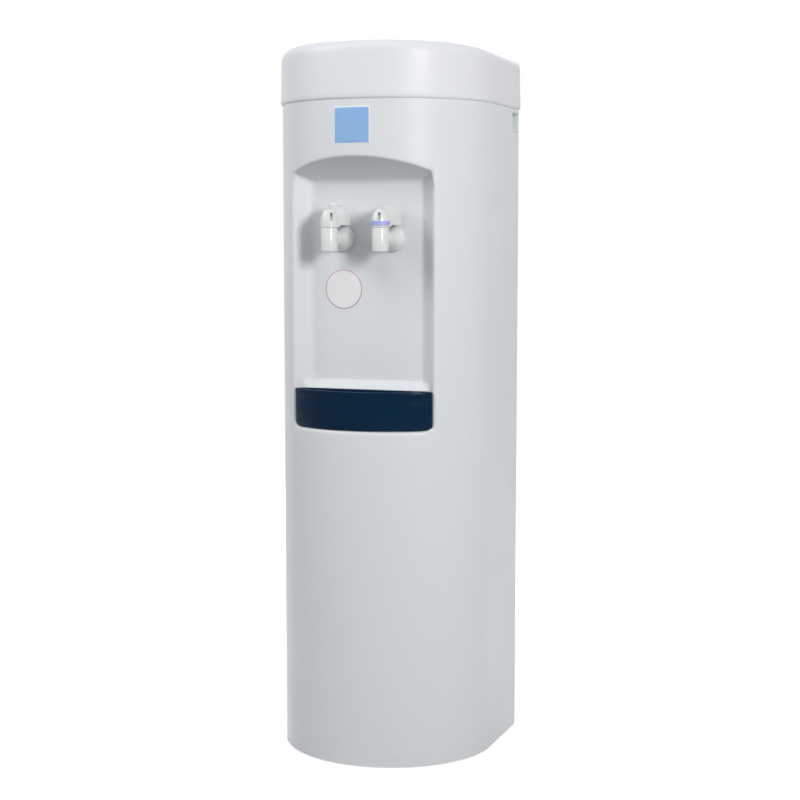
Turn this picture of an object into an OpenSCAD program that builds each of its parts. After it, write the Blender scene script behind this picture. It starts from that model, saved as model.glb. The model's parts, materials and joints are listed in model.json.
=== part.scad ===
// Floor-standing bottleless water cooler, in millimetres.
// +Z is up, the taps face -Y, and the origin is on the floor under the middle of the whole object.

/* [Cabinet] */
// Width of the cabinet across its straight sides
body_w = 304; // [290:1:330]
// How much less than half the width the bowed front reaches past the line where the sides start to curve
front_flat = 8; // [4:1:12]
// Length of the straight sides behind that line
body_back = 143; // [136:1:180]
// Distance from the middle to the centres of the two arcs that turn the sides into the front
side_x = 18.7; // [14:0.1:30]
// Radius of the two rear corners
rear_corner_r = 18; // [10:1:22]
// Height of the seam between cabinet and lid
seam_z = 913; // [911:1:960]
// Thickness of the moulded wall
wall = 3; // [2:0.5:4]
// Gap between the cabinet's lower edge and the floor
floor_gap = 2.5; // [1:0.5:8]
// Width of the rear wall on each side of its opening
rear_jamb_w = 34; // [32:1:44]
// Height of the wall that is left above the rear opening
rear_band_h = 20; // [12:1:30]

/* [Lid] */
// Height of the lid above the seam
lid_h = 77; // [60:1:100]
// How far the lid stands out past the cabinet all round
lid_lap = 2.2; // [1:0.1:5]
// Thickness of the lid's wall
lid_wall = 3; // [2:0.5:4]
// Radius of the lid's top edge
lid_edge_r = 14; // [6:1:20]
// Rise of the lid's crown above its edge
lid_crown = 3; // [1:0.5:6]
// Depth of the lip that locates the lid inside the cabinet
lid_lip_h = 4; // [2:0.5:4.5]
// Thickness of that lip
lid_lip_t = 2; // [1.5:0.5:3]

/* [Recess] */
// Width of the recess at the cabinet's surface
niche_w = 210; // [200:1:220]
// Width of the flat back wall of the recess
niche_back_w = 166; // [150:1:172]
// Depth of the recess at its middle
niche_depth = 60; // [54:1:64]
// Height of the crown of the arch
arch_z = 837.6; // [825:0.1:842]
// Radius of the arch
arch_r = 208; // [180:1:260]
// Height of the ceiling where it meets the back wall
ceiling_z = 805.7; // [795:0.1:812]
// Slope of the ceiling in degrees
ceiling_slope = 28; // [20:1:34]
// Height of the foot of the back wall
sill_z = 532; // [526:1:545]
// Width of the sloping sill between the back wall and the tray
sill_w = 12; // [8:1:16]
// Radius of the two lower corners
niche_low_r = 14; // [6:1:18]

/* [Drip tray] */
// Height of the tray's underside
tray_z = 468; // [450:0.5:475]
// Height of the tray with its grille
tray_h = 52; // [48:0.5:60]
// Wall of the tray
tray_wall = 2.2; // [1.5:0.1:3]
// Gap between the tray and the sides of its bay
tray_gap = 1.5; // [1:0.5:4]
// Radius of the tray's upright edges
tray_edge_r = 4; // [2:1:8]
// Height of the band that the grille adds on top of the tray
grille_band_h = 13; // [10:0.5:16]
// Thickness of the grille's plate
grille_t = 3; // [2:0.5:4]
// Width of one grille slot
slot_w = 4; // [3:0.5:5]
// Distance from slot to slot
slot_pitch = 8; // [7:0.5:12]
// Length of one grille slot
slot_len = 22; // [14:1:24]

/* [Front plate and disc] */
// Width of the blue plate
plate_w = 50; // [40:1:60]
// Height of the blue plate
plate_h = 48; // [40:1:56]
// Distance of the plate's top below the seam
plate_drop = 11; // [9:1:14]
// Thickness of the plate
plate_t = 0.8; // [0.6:0.1:1.5]
// Diameter of the round disc on the back wall
disc_d = 54; // [40:1:60]
// Distance of the disc's centre left of the middle
disc_x = 36; // [30:1:45]
// Height of the disc's centre
disc_z = 657.5; // [600:0.5:670]
// Thickness of the disc
disc_t = 0.5; // [0.4:0.1:1]

/* [Taps] */
// Distance from the middle to each tap
tap_x = 37; // [34:1:42]
// Height of the taps' axes
tap_z = 727.5; // [720:0.5:735]
// Reach from the back wall to the spout's axis
tap_reach = 49; // [44:1:49]
// Diameter of the spout
spout_d = 23; // [22:0.5:26]
// Height of the spout above the tap's axis
spout_up = 16.5; // [15:0.5:18]
// Length of the spout below the tap's axis
spout_down = 17.5; // [15:0.5:20]
// Diameter of the barrel
barrel_d = 23; // [20:0.5:24]
// Diameter of the flange
flange_d = 35; // [30:0.5:38]
// Thickness of the flange
flange_t = 5; // [3:0.5:7]
// Diameter of the threaded shank
shank_d = 18; // [16:0.5:20]
// Length of the shank behind the back wall
shank_len = 19; // [17:0.5:20]
// Width of the shank's nut across its flats
nut_af = 27; // [24:0.5:30]
// Thickness of that nut
nut_t = 8; // [5:0.5:10]
// Diameter of the waterway
waterway_d = 9; // [7:0.5:10]
// Diameter of the valve chamber
chamber_d = 18; // [17:0.5:19]
// Diameter of the valve stem
stem_d = 4; // [3:0.25:4.5]
// Diameter of the lever's pivot pin
pin_d = 3; // [2.5:0.1:3.2]
// Radial play of a shaft in its hole
shaft_play = 0.06; // [0.03:0.01:0.08]
// Distance of the pivot behind the spout's axis
pivot_back = 6.5; // [6.2:0.1:7]
// Height of the pivot above the spout's top
pivot_up = 8.5; // [8.5:0.1:9]
// Width of the lever
lever_w = 23; // [22:0.5:24]
// Reach of the lever behind the spout's axis
lever_back = 37; // [34:0.5:38]
// Height of the lever above the spout's top
lever_h = 28.5; // [27:0.5:32]
// Wall of the lever
lever_wall = 1.8; // [1.4:0.1:2.2]
// Height that the hot tap's safety catch stands out of its lever
catch_h = 3.5; // [2.5:0.5:5]

/* [Frame] */
// Thickness of the sheet steel
sheet = 1.5; // [1:0.1:2]
// Height of the feet
foot_h = 14; // [12:1:20]
// Diameter of the feet
foot_d = 28; // [20:1:32]
// Height of the base pan's rim
pan_rim_h = 20; // [12:1:30]
// Height of the shelf under the cold tank
cold_shelf_z = 650; // [645:1:654]
// Height of the shelf under the hot tank
hot_shelf_z = 400; // [380:1:415]
// Depth of the shelves' side flanges
shelf_flange_h = 20; // [12:1:30]
// Width of the uprights against the rear panel
upright_w = 29; // [22:1:32]
// Depth of the uprights
upright_d = 27; // [20:1:30]

/* [Rear] */
// Reach of the condenser past the cabinet's rear wall
condenser_reach = 31.2; // [24:0.1:40]
// Height of the condenser's lowest run
condenser_z = 250; // [235:1:260]
// Distance from run to run
run_pitch = 46; // [40:1:47]
// Number of runs, an even number
run_count = 12; // [8:2:12]
// Diameter of the condenser tube
coil_tube_d = 5; // [4:0.5:6]
// Diameter of the condenser wires
wire_d = 1.6; // [1.2:0.1:2]
// Distance from wire to wire
wire_pitch = 8; // [6:0.5:10]
// Diameter of the screws
screw_d = 4; // [3:0.5:4.5]
// Diameter of the screw heads
screw_head_d = 8; // [7:0.5:9]
// Outer diameter of the water pipe that the inlet takes
inlet_pipe_d = 6.35; // [6:0.05:8]
// Diameter of the hole through the cord gland
gland_hole_d = 8; // [6:0.5:10]

/* [Tanks and compressor] */
// Radius of the cold tank
cold_r = 72; // [66:1:74]
// Height of the cold tank
cold_h = 180; // [160:1:190]
// Thickness of the insulation round the cold tank
insulation_t = 12; // [8:1:13]
// Thickness of the insulation under the cold tank
insulation_floor = 20; // [14:1:24]
// Diameter of the evaporator tube
evap_d = 6; // [5:0.5:6.5]
// Turns of the evaporator
evap_turns = 6; // [3:1:8]
// Radius of the hot tank
hot_r = 52; // [44:1:56]
// Height of the hot tank
hot_h = 180; // [150:1:190]
// Thickness of the hot tank's jacket
jacket_t = 12; // [8:1:14]
// Thickness of the tanks' steel
tank_wall = 1; // [0.8:0.1:1.5]
// Radius of the float ball
ball_r = 18; // [12:1:20]
// Reach of the float arm
arm_reach = 60; // [54:1:66]
// Radius of the compressor
comp_r = 62; // [55:1:66]
// Height of the compressor
comp_h = 145; // [120:1:150]
// Outer diameter of the silicone hoses
hose_d = 9; // [8:0.5:9.5]

/* [Hidden] */
$fn = 48;
eps = 0.01;
// Seat is the gap where one piece rests against another, gap is that between loose neighbours
seat = 0.2;
gap = 0.3;
arc_step = 5;

// Plan of the cabinet: front arc, two side arcs, straight sides and two rear corners
body_front = body_w / 2 - front_flat;
side_r = body_w / 2 - side_x;
rear_open_w = body_w - 2 * rear_jamb_w;
plan_y = (body_front + lid_lap - body_back - condenser_reach) / 2;
side_drop = body_front - side_r;
front_y = (side_x * side_x - side_drop * side_drop) / (2 * side_drop);
front_r = body_front + front_y;
turn_a = atan2(front_y, side_x);
rear_y = plan_y + body_back;
rear_in_y = rear_y - wall;
panel_y = plan_y - body_front + niche_depth;
panel_in_y = panel_y + wall;
flare = (niche_w - niche_back_w) / 2;
tray_back_y = panel_y - sill_w;
ahead_y = plan_y - body_front - 20;

function arc(x, y, r, from, to, first = 0) =
    let (n = max(2, ceil(abs(to - from) / arc_step)))
    [for (i = [first:n]) let (a = from + (to - from) * i / n) [x + r * cos(a), y + r * sin(a)]];

// Outline of the cabinet drawn in by a distance, which is negative for a larger outline
function plan(inset) = concat(
    arc(0, plan_y + front_y, front_r - inset, 180 + turn_a, 360 - turn_a),
    arc(side_x, plan_y, side_r - inset, -turn_a, 0, 1),
    arc(body_w / 2 - rear_corner_r, rear_y - rear_corner_r, max(0.5, rear_corner_r - inset), 0, 90),
    arc(rear_corner_r - body_w / 2, rear_y - rear_corner_r, max(0.5, rear_corner_r - inset), 90, 180),
    arc(-side_x, plan_y, side_r - inset, 180, 180 + turn_a - eps));

module prism(inset, z0, z1) {
    translate([0, 0, z0]) linear_extrude(z1 - z0) polygon(plan(inset));
}

// A box between two corners
module block(a, b) {
    translate(a) cube(b - a);
}

// Cylinders along X, Y and Z
module rod_x(x0, x1, y, z, r) {
    translate([x0, y, z]) rotate([0, 90, 0]) cylinder(r = r, h = x1 - x0);
}
module rod_y(x, y0, y1, z, r) {
    translate([x, y0, z]) rotate([-90, 0, 0]) cylinder(r = r, h = y1 - y0);
}
module rod_z(x, y, z0, z1, r) {
    translate([x, y, z0]) cylinder(r = r, h = z1 - z0);
}
module ring_z(x, y, z0, z1, r_in, r_out) {
    difference() {
        rod_z(x, y, z0, z1, r_out);
        rod_z(x, y, z0 - 1, z1 + 1, r_in);
    }
}

// A bent tube along points, with its cross-section carried from ring to ring without twist
function unit(v) = v / norm(v);
function turned(u, a, b) =
    let (c = a * b, x = cross(a, b))
    c > 0.999999 ? u : u * c + cross(x, u) + x * (x * u) / (1 + c);
function headings(p) = [for (i = [0:len(p) - 1])
    i == 0 ? unit(p[1] - p[0])
    : i == len(p) - 1 ? unit(p[i] - p[i - 1])
    : unit(unit(p[i] - p[i - 1]) + unit(p[i + 1] - p[i]))];
function sides(t, i, u) =
    i == len(t) ? [] : let (v = i == 0 ? u : turned(u, t[i - 1], t[i])) concat([v], sides(t, i + 1, v));

module tube(p, r, n) {
    t = headings(p);
    start = abs(t[0][2]) < 0.9 ? cross(t[0], [0, 0, 1]) : cross(t[0], [1, 0, 0]);
    s = sides(t, 0, unit(start));
    rings = [for (i = [0:len(p) - 1]) for (k = [0:n - 1])
        p[i] + r * (cos(k * 360 / n) * s[i] + sin(k * 360 / n) * cross(t[i], s[i]))];
    skin = [for (i = [0:len(p) - 2]) for (k = [0:n - 1])
        let (a = i * n + k, b = i * n + (k + 1) % n) each [[a, a + n, b], [b, a + n, b + n]]];
    last = (len(p) - 1) * n;
    caps = [for (k = [1:n - 2]) each [[0, k, k + 1], [last, last + k + 1, last + k]]];
    polyhedron(points = rings, faces = concat(skin, caps));
}

// Corners of a route replaced by arcs of one radius
function rounded(p, r) = concat([p[0]],
    [for (i = [1:len(p) - 2])
        let (a = unit(p[i - 1] - p[i]), b = unit(p[i + 1] - p[i]),
            half = acos(a * b) / 2,
            m = unit(a + b),
            c = p[i] + m * r / sin(half),
            u = unit(p[i] + a * r / tan(half) - c),
            w = p[i] + b * r / tan(half) - c,
            swing = 180 - 2 * half,
            v = unit(w - u * (w * u)),
            n = max(2, round(swing / 22.5)))
        each [for (k = [0:n]) c + r * (cos(k * swing / n) * u + sin(k * swing / n) * v)]],
    [p[len(p) - 1]]);

// Recess and tray bay, grown by a distance for the wall round it
function niche_outline() =
    let (h = niche_w / 2, r = niche_low_r, low = tray_z - gap, a = acos(h / arch_r))
    concat(
        arc(h - r, low + r, r, -90, 0),
        arc(0, arch_z - arch_r, arch_r, a, 180 - a),
        arc(r - h, low + r, r, 180, 270));

module niche_plan(grow) {
    h = niche_w / 2;
    b = niche_back_w / 2;
    offset(delta = grow) polygon([[-h, ahead_y], [h, ahead_y], [h, panel_y - flare], [b, panel_y],
        [-b, panel_y], [-h, panel_y - flare]]);
}

module niche_void(grow) {
    low = tray_z - gap;
    rise = (panel_y - ahead_y) * tan(ceiling_slope);
    intersection() {
        translate([0, 0, low - 20]) linear_extrude(arch_z - low + 40) niche_plan(grow);
        translate([0, rear_y, 0]) rotate([90, 0, 0]) linear_extrude(rear_y - ahead_y)
            offset(delta = grow) polygon(niche_outline());
        translate([-body_w / 2, 0, 0]) rotate([90, 0, 90]) linear_extrude(body_w)
            offset(delta = grow) polygon([[ahead_y, low], [tray_back_y, low],
                [tray_back_y, tray_z + tray_h + 1], [panel_y, sill_z], [panel_y, ceiling_z],
                [ahead_y, ceiling_z + rise]]);
    }
}

// Places that several pieces share
grip_z = seam_z - lid_lip_h - 15.5;
grip_h = 28;
grip_y = rear_y - rear_corner_r - 1 - 14.5;
grip_len = 29;
grip_depth = 18;
post_x = body_w / 2 - rear_corner_r - 1;
post_y = rear_in_y - sheet;
screw_x = rear_open_w / 2 + 8;
pan_top = foot_h + sheet;
panel_low = foot_h + pan_rim_h + 0.5;
panel_high = seam_z - lid_lip_h - 4;
rail_t = 1.2;
run_top = condenser_z + run_pitch * (run_count - 1);
coil_y = rear_y + condenser_reach - wire_d - seat - coil_tube_d / 2;
rail_x = rear_open_w / 2 - 0.5;
coil_half = rail_x - seat - coil_tube_d / 2 - run_pitch / 2;
coil_end_x = coil_half - 4;
wire_count = 2 * floor((coil_half - 8) / wire_pitch);
free_screws = [panel_low + 26, panel_low + 126, panel_high - 55];
rail_screws = [condenser_z + 15, (condenser_z + run_top) / 2, run_top - 15];
line_hole_x = post_x - 22;
line_hole_y = plan_y + 94;

module cabinet() {
    color("white") difference() {
        union() {
            difference() {
                prism(0, floor_gap, seam_z);
                prism(wall, floor_gap - 1, seam_z + 1);
            }
            intersection() {
                niche_void(wall);
                prism(wall / 2, floor_gap, seam_z - 5);
            }
        }
        niche_void(0);
        block([-rear_open_w / 2, rear_in_y - 1, 0], [rear_open_w / 2, rear_y + 1, seam_z - rear_band_h]);
        for (s = [-1, 1]) {
            rod_y(s * tap_x, panel_y - 1, panel_in_y + 1, tap_z, shank_d / 2 + gap);
            translate([s * body_w / 2, grip_y, grip_z]) cube([4 * wall, grip_len, grip_h], center = true);
            for (z = concat(free_screws, rail_screws))
                rod_y(s * screw_x, rear_in_y - 1, rear_y + 1, z, screw_d / 2 + gap);
        }
    }
}

// A lid-shaped solid with a rounded top edge and a crown
module lid_form(inset, z0, z1, edge) {
    low = z1 - lid_crown - edge;
    profile = concat([[inset, z0]],
        [for (a = [0:22.5:90]) [inset + edge * (1 - cos(a)), low + edge * sin(a)]]);
    crown = [for (q = plan(inset + edge)) [0.5 * q[0], plan_y / 2 + 0.5 * q[1], z1]];
    rings = concat([for (f = profile) [for (q = plan(f[0])) [q[0], q[1], f[1]]]], [crown]);
    n = len(crown);
    last = (len(rings) - 1) * n;
    skin = [for (i = [0:len(rings) - 2]) for (k = [0:n - 1])
        let (a = i * n + k, b = i * n + (k + 1) % n) each [[a, a + n, b], [b, a + n, b + n]]];
    polyhedron(points = [for (r = rings) each r],
        faces = concat(skin, [[for (k = [0:n - 1]) k], [for (k = [n - 1:-1:0]) last + k]]));
}

module top_lid() {
    color("white") difference() {
        union() {
            lid_form(-lid_lap, seam_z, seam_z + lid_h, lid_edge_r);
            prism(wall + 2 * gap, seam_z - lid_lip_h, seam_z + 1);
        }
        lid_form(lid_wall - lid_lap, seam_z + lid_wall, seam_z + lid_h - lid_wall, lid_edge_r - lid_wall);
        prism(wall + 2 * gap + lid_lip_t, seam_z - lid_lip_h - 1, seam_z + lid_wall + 1);
    }
}

module base_pan() {
    color("darkgray") difference() {
        prism(wall + gap, foot_h, foot_h + pan_rim_h);
        prism(wall + gap + sheet, pan_top, foot_h + pan_rim_h + 1);
        for (s = [-1, 1]) translate([s * (post_x - upright_w / 2), post_y, foot_h + pan_rim_h])
            cube([upright_w + 2 * gap, 4, 2 * (pan_rim_h - sheet)], center = true);
    }
}

// Feet, with a rubber pad and a threaded stem up to the pan
front_foot = [0.3 * body_w, plan_y - 0.58 * body_front];
rear_foot = [body_w / 2 - rear_corner_r - 16, rear_y - rear_corner_r - 11];
module feet() {
    color("dimgray") for (s = [-1, 1]) for (p = [front_foot, rear_foot]) {
        rod_z(s * p[0], p[1], 0, 0.65 * foot_h, foot_d / 2);
        rod_z(s * p[0], p[1], 0.5 * foot_h, foot_h, 5);
    }
}

switch_x = 48 - rear_open_w / 2;
control_drop = 10.5;
control_z = (run_top + panel_high) / 2 - control_drop;
inlet_x = 30 - rear_open_w / 2;
inlet_z = 120;
drain_x = 68 - rear_open_w / 2;
drain_z = 90;
gland_x = rear_open_w / 2 - 78;
gland_z = 90;
switch_w = 22;
switch_h = 30;
dial_shaft_r = 3;
thermo_w = 34;
thermo_h = 40;
thermo_depth = 22;
thermo_clear = 1.1;
inlet_r = 7;
drain_r = 7;
gland_r = gland_hole_d / 2 + 4;
vent_w = 80;
vent_h = 6;

module rear_panel() {
    color("silver") difference() {
        block([-post_x, post_y + sheet - 1.2, panel_low], [post_x, rear_in_y, panel_high]);
        for (s = [-1, 1]) for (z = concat(free_screws, rail_screws))
            rod_y(s * screw_x, post_y - 2, rear_in_y + 1, z, screw_d / 2 + gap);
        for (z = [condenser_z, run_top])
            rod_y(coil_end_x, post_y - 2, rear_in_y + 1, z, coil_tube_d / 2 + 1.5);
        rod_y(inlet_x, post_y - 2, rear_in_y + 1, inlet_z, inlet_r + gap);
        rod_y(drain_x, post_y - 2, rear_in_y + 1, drain_z, drain_r + gap);
        rod_y(gland_x, post_y - 2, rear_in_y + 1, gland_z, gland_r + gap);
        rod_y(dial_x, post_y - 2, rear_in_y + 1, control_z, dial_shaft_r + 1);
        translate([switch_x, rear_in_y, control_z])
            cube([switch_w + gap, 8, switch_h + gap], center = true);
        for (x = [-52, 52]) for (i = [0:4])
            translate([x, rear_in_y, 160 + i * 14]) cube([vent_w, 8, vent_h], center = true);
    }
}

module screw(x, y, z) {
    difference() {
        union() {
            rod_y(x, y - 8, y + 1, z, screw_d / 2);
            intersection() {
                translate([x, y - 3, z]) sphere(r = norm([screw_head_d / 2, 3]));
                rod_y(x, y, y + 4, z, screw_head_d / 2);
            }
        }
        translate([x, y + 2.4, z]) cube([4, 2, 1], center = true);
        translate([x, y + 2.4, z]) cube([1, 2, 4], center = true);
    }
}

module rear_panel_screws() {
    color("lightgray") for (s = [-1, 1]) {
        for (z = free_screws) screw(s * screw_x, rear_y, z);
        for (z = rail_screws) screw(s * screw_x, rear_y + rail_t, z);
    }
}

module blue_plate() {
    color("cornflowerblue") difference() {
        intersection() {
            prism(-plate_t, seam_z - plate_drop - plate_h, seam_z - plate_drop);
            block([-plate_w / 2, ahead_y, 0], [plate_w / 2, plan_y, seam_z]);
        }
        prism(0, floor_gap, seam_z);
    }
}

module round_disc() {
    color("mistyrose") rod_y(-disc_x, panel_y - disc_t, panel_y, disc_z, disc_d / 2);
}

// Grip cups, flush with the cabinet's sides and open to the outside
module hand_grips() {
    color("slategray") for (s = [-1, 1]) mirror([s < 0 ? 1 : 0, 0, 0])
        translate([body_w / 2, grip_y, grip_z]) difference() {
            translate([-grip_depth, -grip_len / 2 + seat, -grip_h / 2 + seat])
                cube([grip_depth, grip_len - 2 * seat, grip_h - 2 * seat]);
            translate([-grip_depth + 1.5, -grip_len / 2 + 1.7, -grip_h / 2 + 1.7])
                cube([grip_depth, grip_len - 3.4, grip_h - 3.4]);
        }
}

// The tray's shape, drawn in by a distance
module tray_form(inset, z0, z1) {
    intersection() {
        translate([0, 0, z0]) linear_extrude(z1 - z0) offset(r = tray_edge_r)
            offset(delta = -tray_edge_r - inset) intersection() {
                niche_plan(-tray_gap);
                polygon(plan(0.5));
                translate([-body_w, ahead_y]) square([2 * body_w, tray_back_y - seat - ahead_y]);
            }
        translate([0, rear_y, 0]) rotate([90, 0, 0]) linear_extrude(rear_y - ahead_y)
            offset(delta = -inset) polygon(concat(
                arc(niche_w / 2 - tray_gap - niche_low_r, tray_z + niche_low_r, niche_low_r, -90, 0),
                [for (s = [1, -1]) [s * (niche_w / 2 - tray_gap), tray_z + tray_h + 40]],
                arc(niche_low_r + tray_gap - niche_w / 2, tray_z + niche_low_r, niche_low_r, 180, 270)));
    }
}

tray_band_z = tray_z + tray_h - grille_band_h;
rim_in = 2;
plate_low_z = tray_band_z + 5;

module drip_tray() {
    color([0.07, 0.16, 0.25]) difference() {
        union() {
            tray_form(0, tray_z, tray_band_z);
            tray_form(rim_in, tray_band_z - 1, plate_low_z - seat);
        }
        tray_form(rim_in + tray_wall, tray_z + tray_wall, tray_z + tray_h);
    }
}

module drip_grille() {
    rows = floor((niche_back_w - 20) / slot_pitch / 2);
    color([0.07, 0.16, 0.25]) difference() {
        tray_form(0, tray_band_z + seat, tray_z + tray_h);
        tray_form(rim_in - gap, tray_band_z, plate_low_z);
        tray_form(rim_in, plate_low_z + grille_t, tray_z + tray_h + 1);
        for (i = [-rows:rows])
            translate([i * slot_pitch, tray_back_y - 11 - slot_len / 2, plate_low_z])
                cube([slot_w, slot_len, 20], center = true);
    }
}

// Taps, drawn about the spout's axis at the height of the tap's axis
bonnet_t = 4;
bonnet_top = spout_up + bonnet_t;
pivot_z = spout_up + pivot_up;
seat_z = -6;
seal_t = 5;
plug_low = spout_up - 7.5;
ear_in = 5;
ear_t = 2;
hub_r = 2.8;
prong_top = pivot_z + 1.7;
head_low = prong_top + gap;
head_r = 3.6;
head_t = 1.2;

module at_tap(s) {
    translate([s * tap_x, panel_y - tap_reach, tap_z]) children();
}

module tap_body(s) {
    at_tap(s) color("white") difference() {
        union() {
            rod_z(0, 0, -spout_down, spout_up, spout_d / 2);
            rod_y(0, 0, tap_reach, 0, barrel_d / 2);
            rod_y(0, tap_reach - flange_t, tap_reach, 0, flange_d / 2);
            rod_y(0, tap_reach - 1, tap_reach + wall + shank_len, 0, shank_d / 2);
        }
        rod_y(0, 0, tap_reach + wall + shank_len + 1, 0, waterway_d / 2);
        rod_z(0, 0, seat_z, spout_up + 1, chamber_d / 2);
        rod_z(0, 0, -spout_down - 1, seat_z + 1, 5);
        rod_z(0, 0, -spout_down - 1, seat_z - 2, chamber_d / 2);
    }
}

module tap_bonnet(s) {
    at_tap(s) color("white") difference() {
        union() {
            rod_z(0, 0, spout_up, bonnet_top, spout_d / 2);
            rod_z(0, 0, plug_low, spout_up + 1, chamber_d / 2 - seat);
            for (m = [-1, 1]) {
                translate([m * (ear_in + ear_t / 2) - ear_t / 2, pivot_back - 3.5, spout_up + 1])
                    cube([ear_t, 7, pivot_up - 1]);
                rod_x(m * (ear_in + ear_t / 2) - ear_t / 2, m * (ear_in + ear_t / 2) + ear_t / 2,
                    pivot_back, pivot_z, 3.5);
            }
        }
        rod_z(0, 0, plug_low - 1, bonnet_top + 1, stem_d / 2 + shaft_play);
        rod_x(-20, 20, pivot_back, pivot_z, pin_d / 2 + shaft_play);
    }
}

module tap_pin(s) {
    at_tap(s) color("silver")
        rod_x(-ear_in - ear_t + seat, ear_in + ear_t - seat, pivot_back, pivot_z, pin_d / 2);
}

// Side profile of the lever: upright front, crown that rises to the back, underside clear of the barrel
lever_r = lever_w / 2;
crown_z = bonnet_top + 0.88 * lever_h;
module lever_profile() {
    polygon([[-lever_r, bonnet_top + 0.7], [-lever_r, bonnet_top + 0.3 * lever_h],
        [-0.74 * lever_r, bonnet_top + 0.7 * lever_h], [-0.35 * lever_r, bonnet_top + 0.79 * lever_h],
        [pivot_back + 4, crown_z - 0.6], [pivot_back + 14, crown_z], [lever_back - 3, crown_z - 0.8],
        [lever_back - 1, crown_z - 3], [lever_back, bonnet_top + 9], [pivot_back + 14, bonnet_top + 5.5],
        [pivot_back + 4, bonnet_top + 3.3], [pivot_back - 1, bonnet_top + 0.7]]);
}

// Plan of the lever: as round in front as the spout
module lever_plan() {
    circle(lever_r);
    translate([-lever_r, 0]) square([lever_w, lever_back + 1]);
}

module lever_prism(half_w, grow) {
    translate([-half_w, 0, 0]) rotate([90, 0, 90]) linear_extrude(2 * half_w)
        offset(delta = grow) lever_profile();
}

lever_pocket_w = 10;
pocket_y = 17.5;
module tap_lever(s, pocket) {
    lean = 2.5;
    at_tap(s) color("white") difference() {
        union() {
            difference() {
                intersection() {
                    lever_prism(lever_r, 0);
                    translate([0, 0, bonnet_top]) linear_extrude(lever_h) lever_plan();
                    translate([0, lever_back + 1, 0]) rotate([90, 0, 0]) linear_extrude(2 * lever_back)
                        polygon([[-lever_r, bonnet_top], [lever_r, bonnet_top],
                            [lever_r - lean, bonnet_top + lever_h], [lean - lever_r, bonnet_top + lever_h]]);
                }
                difference() {
                    intersection() {
                        lever_prism(lever_r - lever_wall - 0.8 * lean, -lever_wall);
                        translate([0, 0, bonnet_top]) linear_extrude(lever_h)
                            offset(delta = -lever_wall) lever_plan();
                    }
                    block([-lever_w, pocket_y - 7.5, crown_z - 5], [lever_w, pocket_y + 7.5, crown_z + 5]);
                }
                block([-ear_in - ear_t - gap, 4 - lever_r, bonnet_top],
                    [ear_in + ear_t + gap, pivot_back + 5, bonnet_top + 7]);
            }
            rod_x(gap - ear_in, ear_in - gap, pivot_back, pivot_z, hub_r);
            block([gap - ear_in, pivot_back - 1, pivot_z],
                [ear_in - gap, pivot_back + 2.5, crown_z - 1.5]);
            for (m = [-1, 1]) translate([m * 3.5 - 1, -0.5, prong_top - 2.4])
                cube([2, pivot_back, 2.4]);
        }
        rod_x(-20, 20, pivot_back, pivot_z, pin_d / 2 + shaft_play);
        translate([0, -lever_r, bonnet_top + 0.36 * lever_h]) cube([2.6, 12, 10], center = true);
        if (pocket) block([-lever_pocket_w / 2 - gap, pocket_y - 4 - gap, bonnet_top + 0.5 * lever_h],
            [lever_pocket_w / 2 + gap, pocket_y + 4 + gap, bonnet_top + lever_h]);
    }
}

module tap_stem(s) {
    at_tap(s) color("silver") {
        rod_z(0, 0, seat_z + 2.5, head_low + 1, stem_d / 2);
        rod_z(0, 0, head_low, head_low + head_t, head_r);
    }
}

module tap_seat(s) {
    at_tap(s) color("gainsboro") difference() {
        rod_z(0, 0, seat_z + 0.1, seat_z + seal_t, 7.2);
        rod_z(0, 0, seat_z + 2.4, seat_z + seal_t + 1, stem_d / 2 + 0.02);
    }
}

spring_turns = 4;
spring_wire_r = 0.6;
module tap_spring(s) {
    low = seat_z + seal_t + seat + spring_wire_r;
    high = plug_low - seat - spring_wire_r;
    at_tap(s) color("silver")
        tube([for (i = [0:8 * spring_turns]) [stem_d + 1, 0, 0] * cos(i * 45)
            + [0, stem_d + 1, 0] * sin(i * 45) + [0, 0, low + (high - low) * i / 8 / spring_turns]],
            spring_wire_r, 6);
}

module tap_nut(s) {
    at_tap(s) color("lightgray") difference() {
        translate([0, tap_reach + wall + seat, 0]) rotate([-90, 0, 0])
            cylinder(r = nut_af / sqrt(3), h = nut_t, $fn = 6);
        rod_y(0, tap_reach + wall - 1, tap_reach + wall + nut_t + 2, 0, shank_d / 2 + shaft_play);
    }
}

module cold_tap_body() tap_body(1);
module cold_tap_bonnet() tap_bonnet(1);
module cold_tap_pin() tap_pin(1);
module cold_tap_lever() tap_lever(1, false);
module cold_tap_stem() tap_stem(1);
module cold_tap_seat() tap_seat(1);
module cold_tap_spring() tap_spring(1);
module cold_tap_nut() tap_nut(1);
module hot_tap_body() tap_body(-1);
module hot_tap_bonnet() tap_bonnet(-1);
module hot_tap_pin() tap_pin(-1);
module hot_tap_lever() tap_lever(-1, true);
module hot_tap_stem() tap_stem(-1);
module hot_tap_seat() tap_seat(-1);
module hot_tap_spring() tap_spring(-1);
module hot_tap_nut() tap_nut(-1);

// Thin strip round the foot of the cold lever's front
module cold_tap_strip() {
    at_tap(1) color("cornflowerblue") intersection() {
        ring_z(0, 0, bonnet_top + 0.8, bonnet_top + 4.6, lever_r, lever_r + 0.4);
        block([-10.5, -lever_r - 1, bonnet_top], [10.5, 0, bonnet_top + 5]);
    }
}

module hot_safety_catch() {
    at_tap(-1) color("white") {
        block([-lever_pocket_w / 2, pocket_y - 4, bonnet_top + 0.6 * lever_h],
            [lever_pocket_w / 2, pocket_y + 4, crown_z + catch_h - 1]);
        block([-lever_pocket_w / 2 + 1, pocket_y - 3, bonnet_top + 0.6 * lever_h],
            [lever_pocket_w / 2 - 1, pocket_y + 3, crown_z + catch_h]);
    }
}

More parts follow.
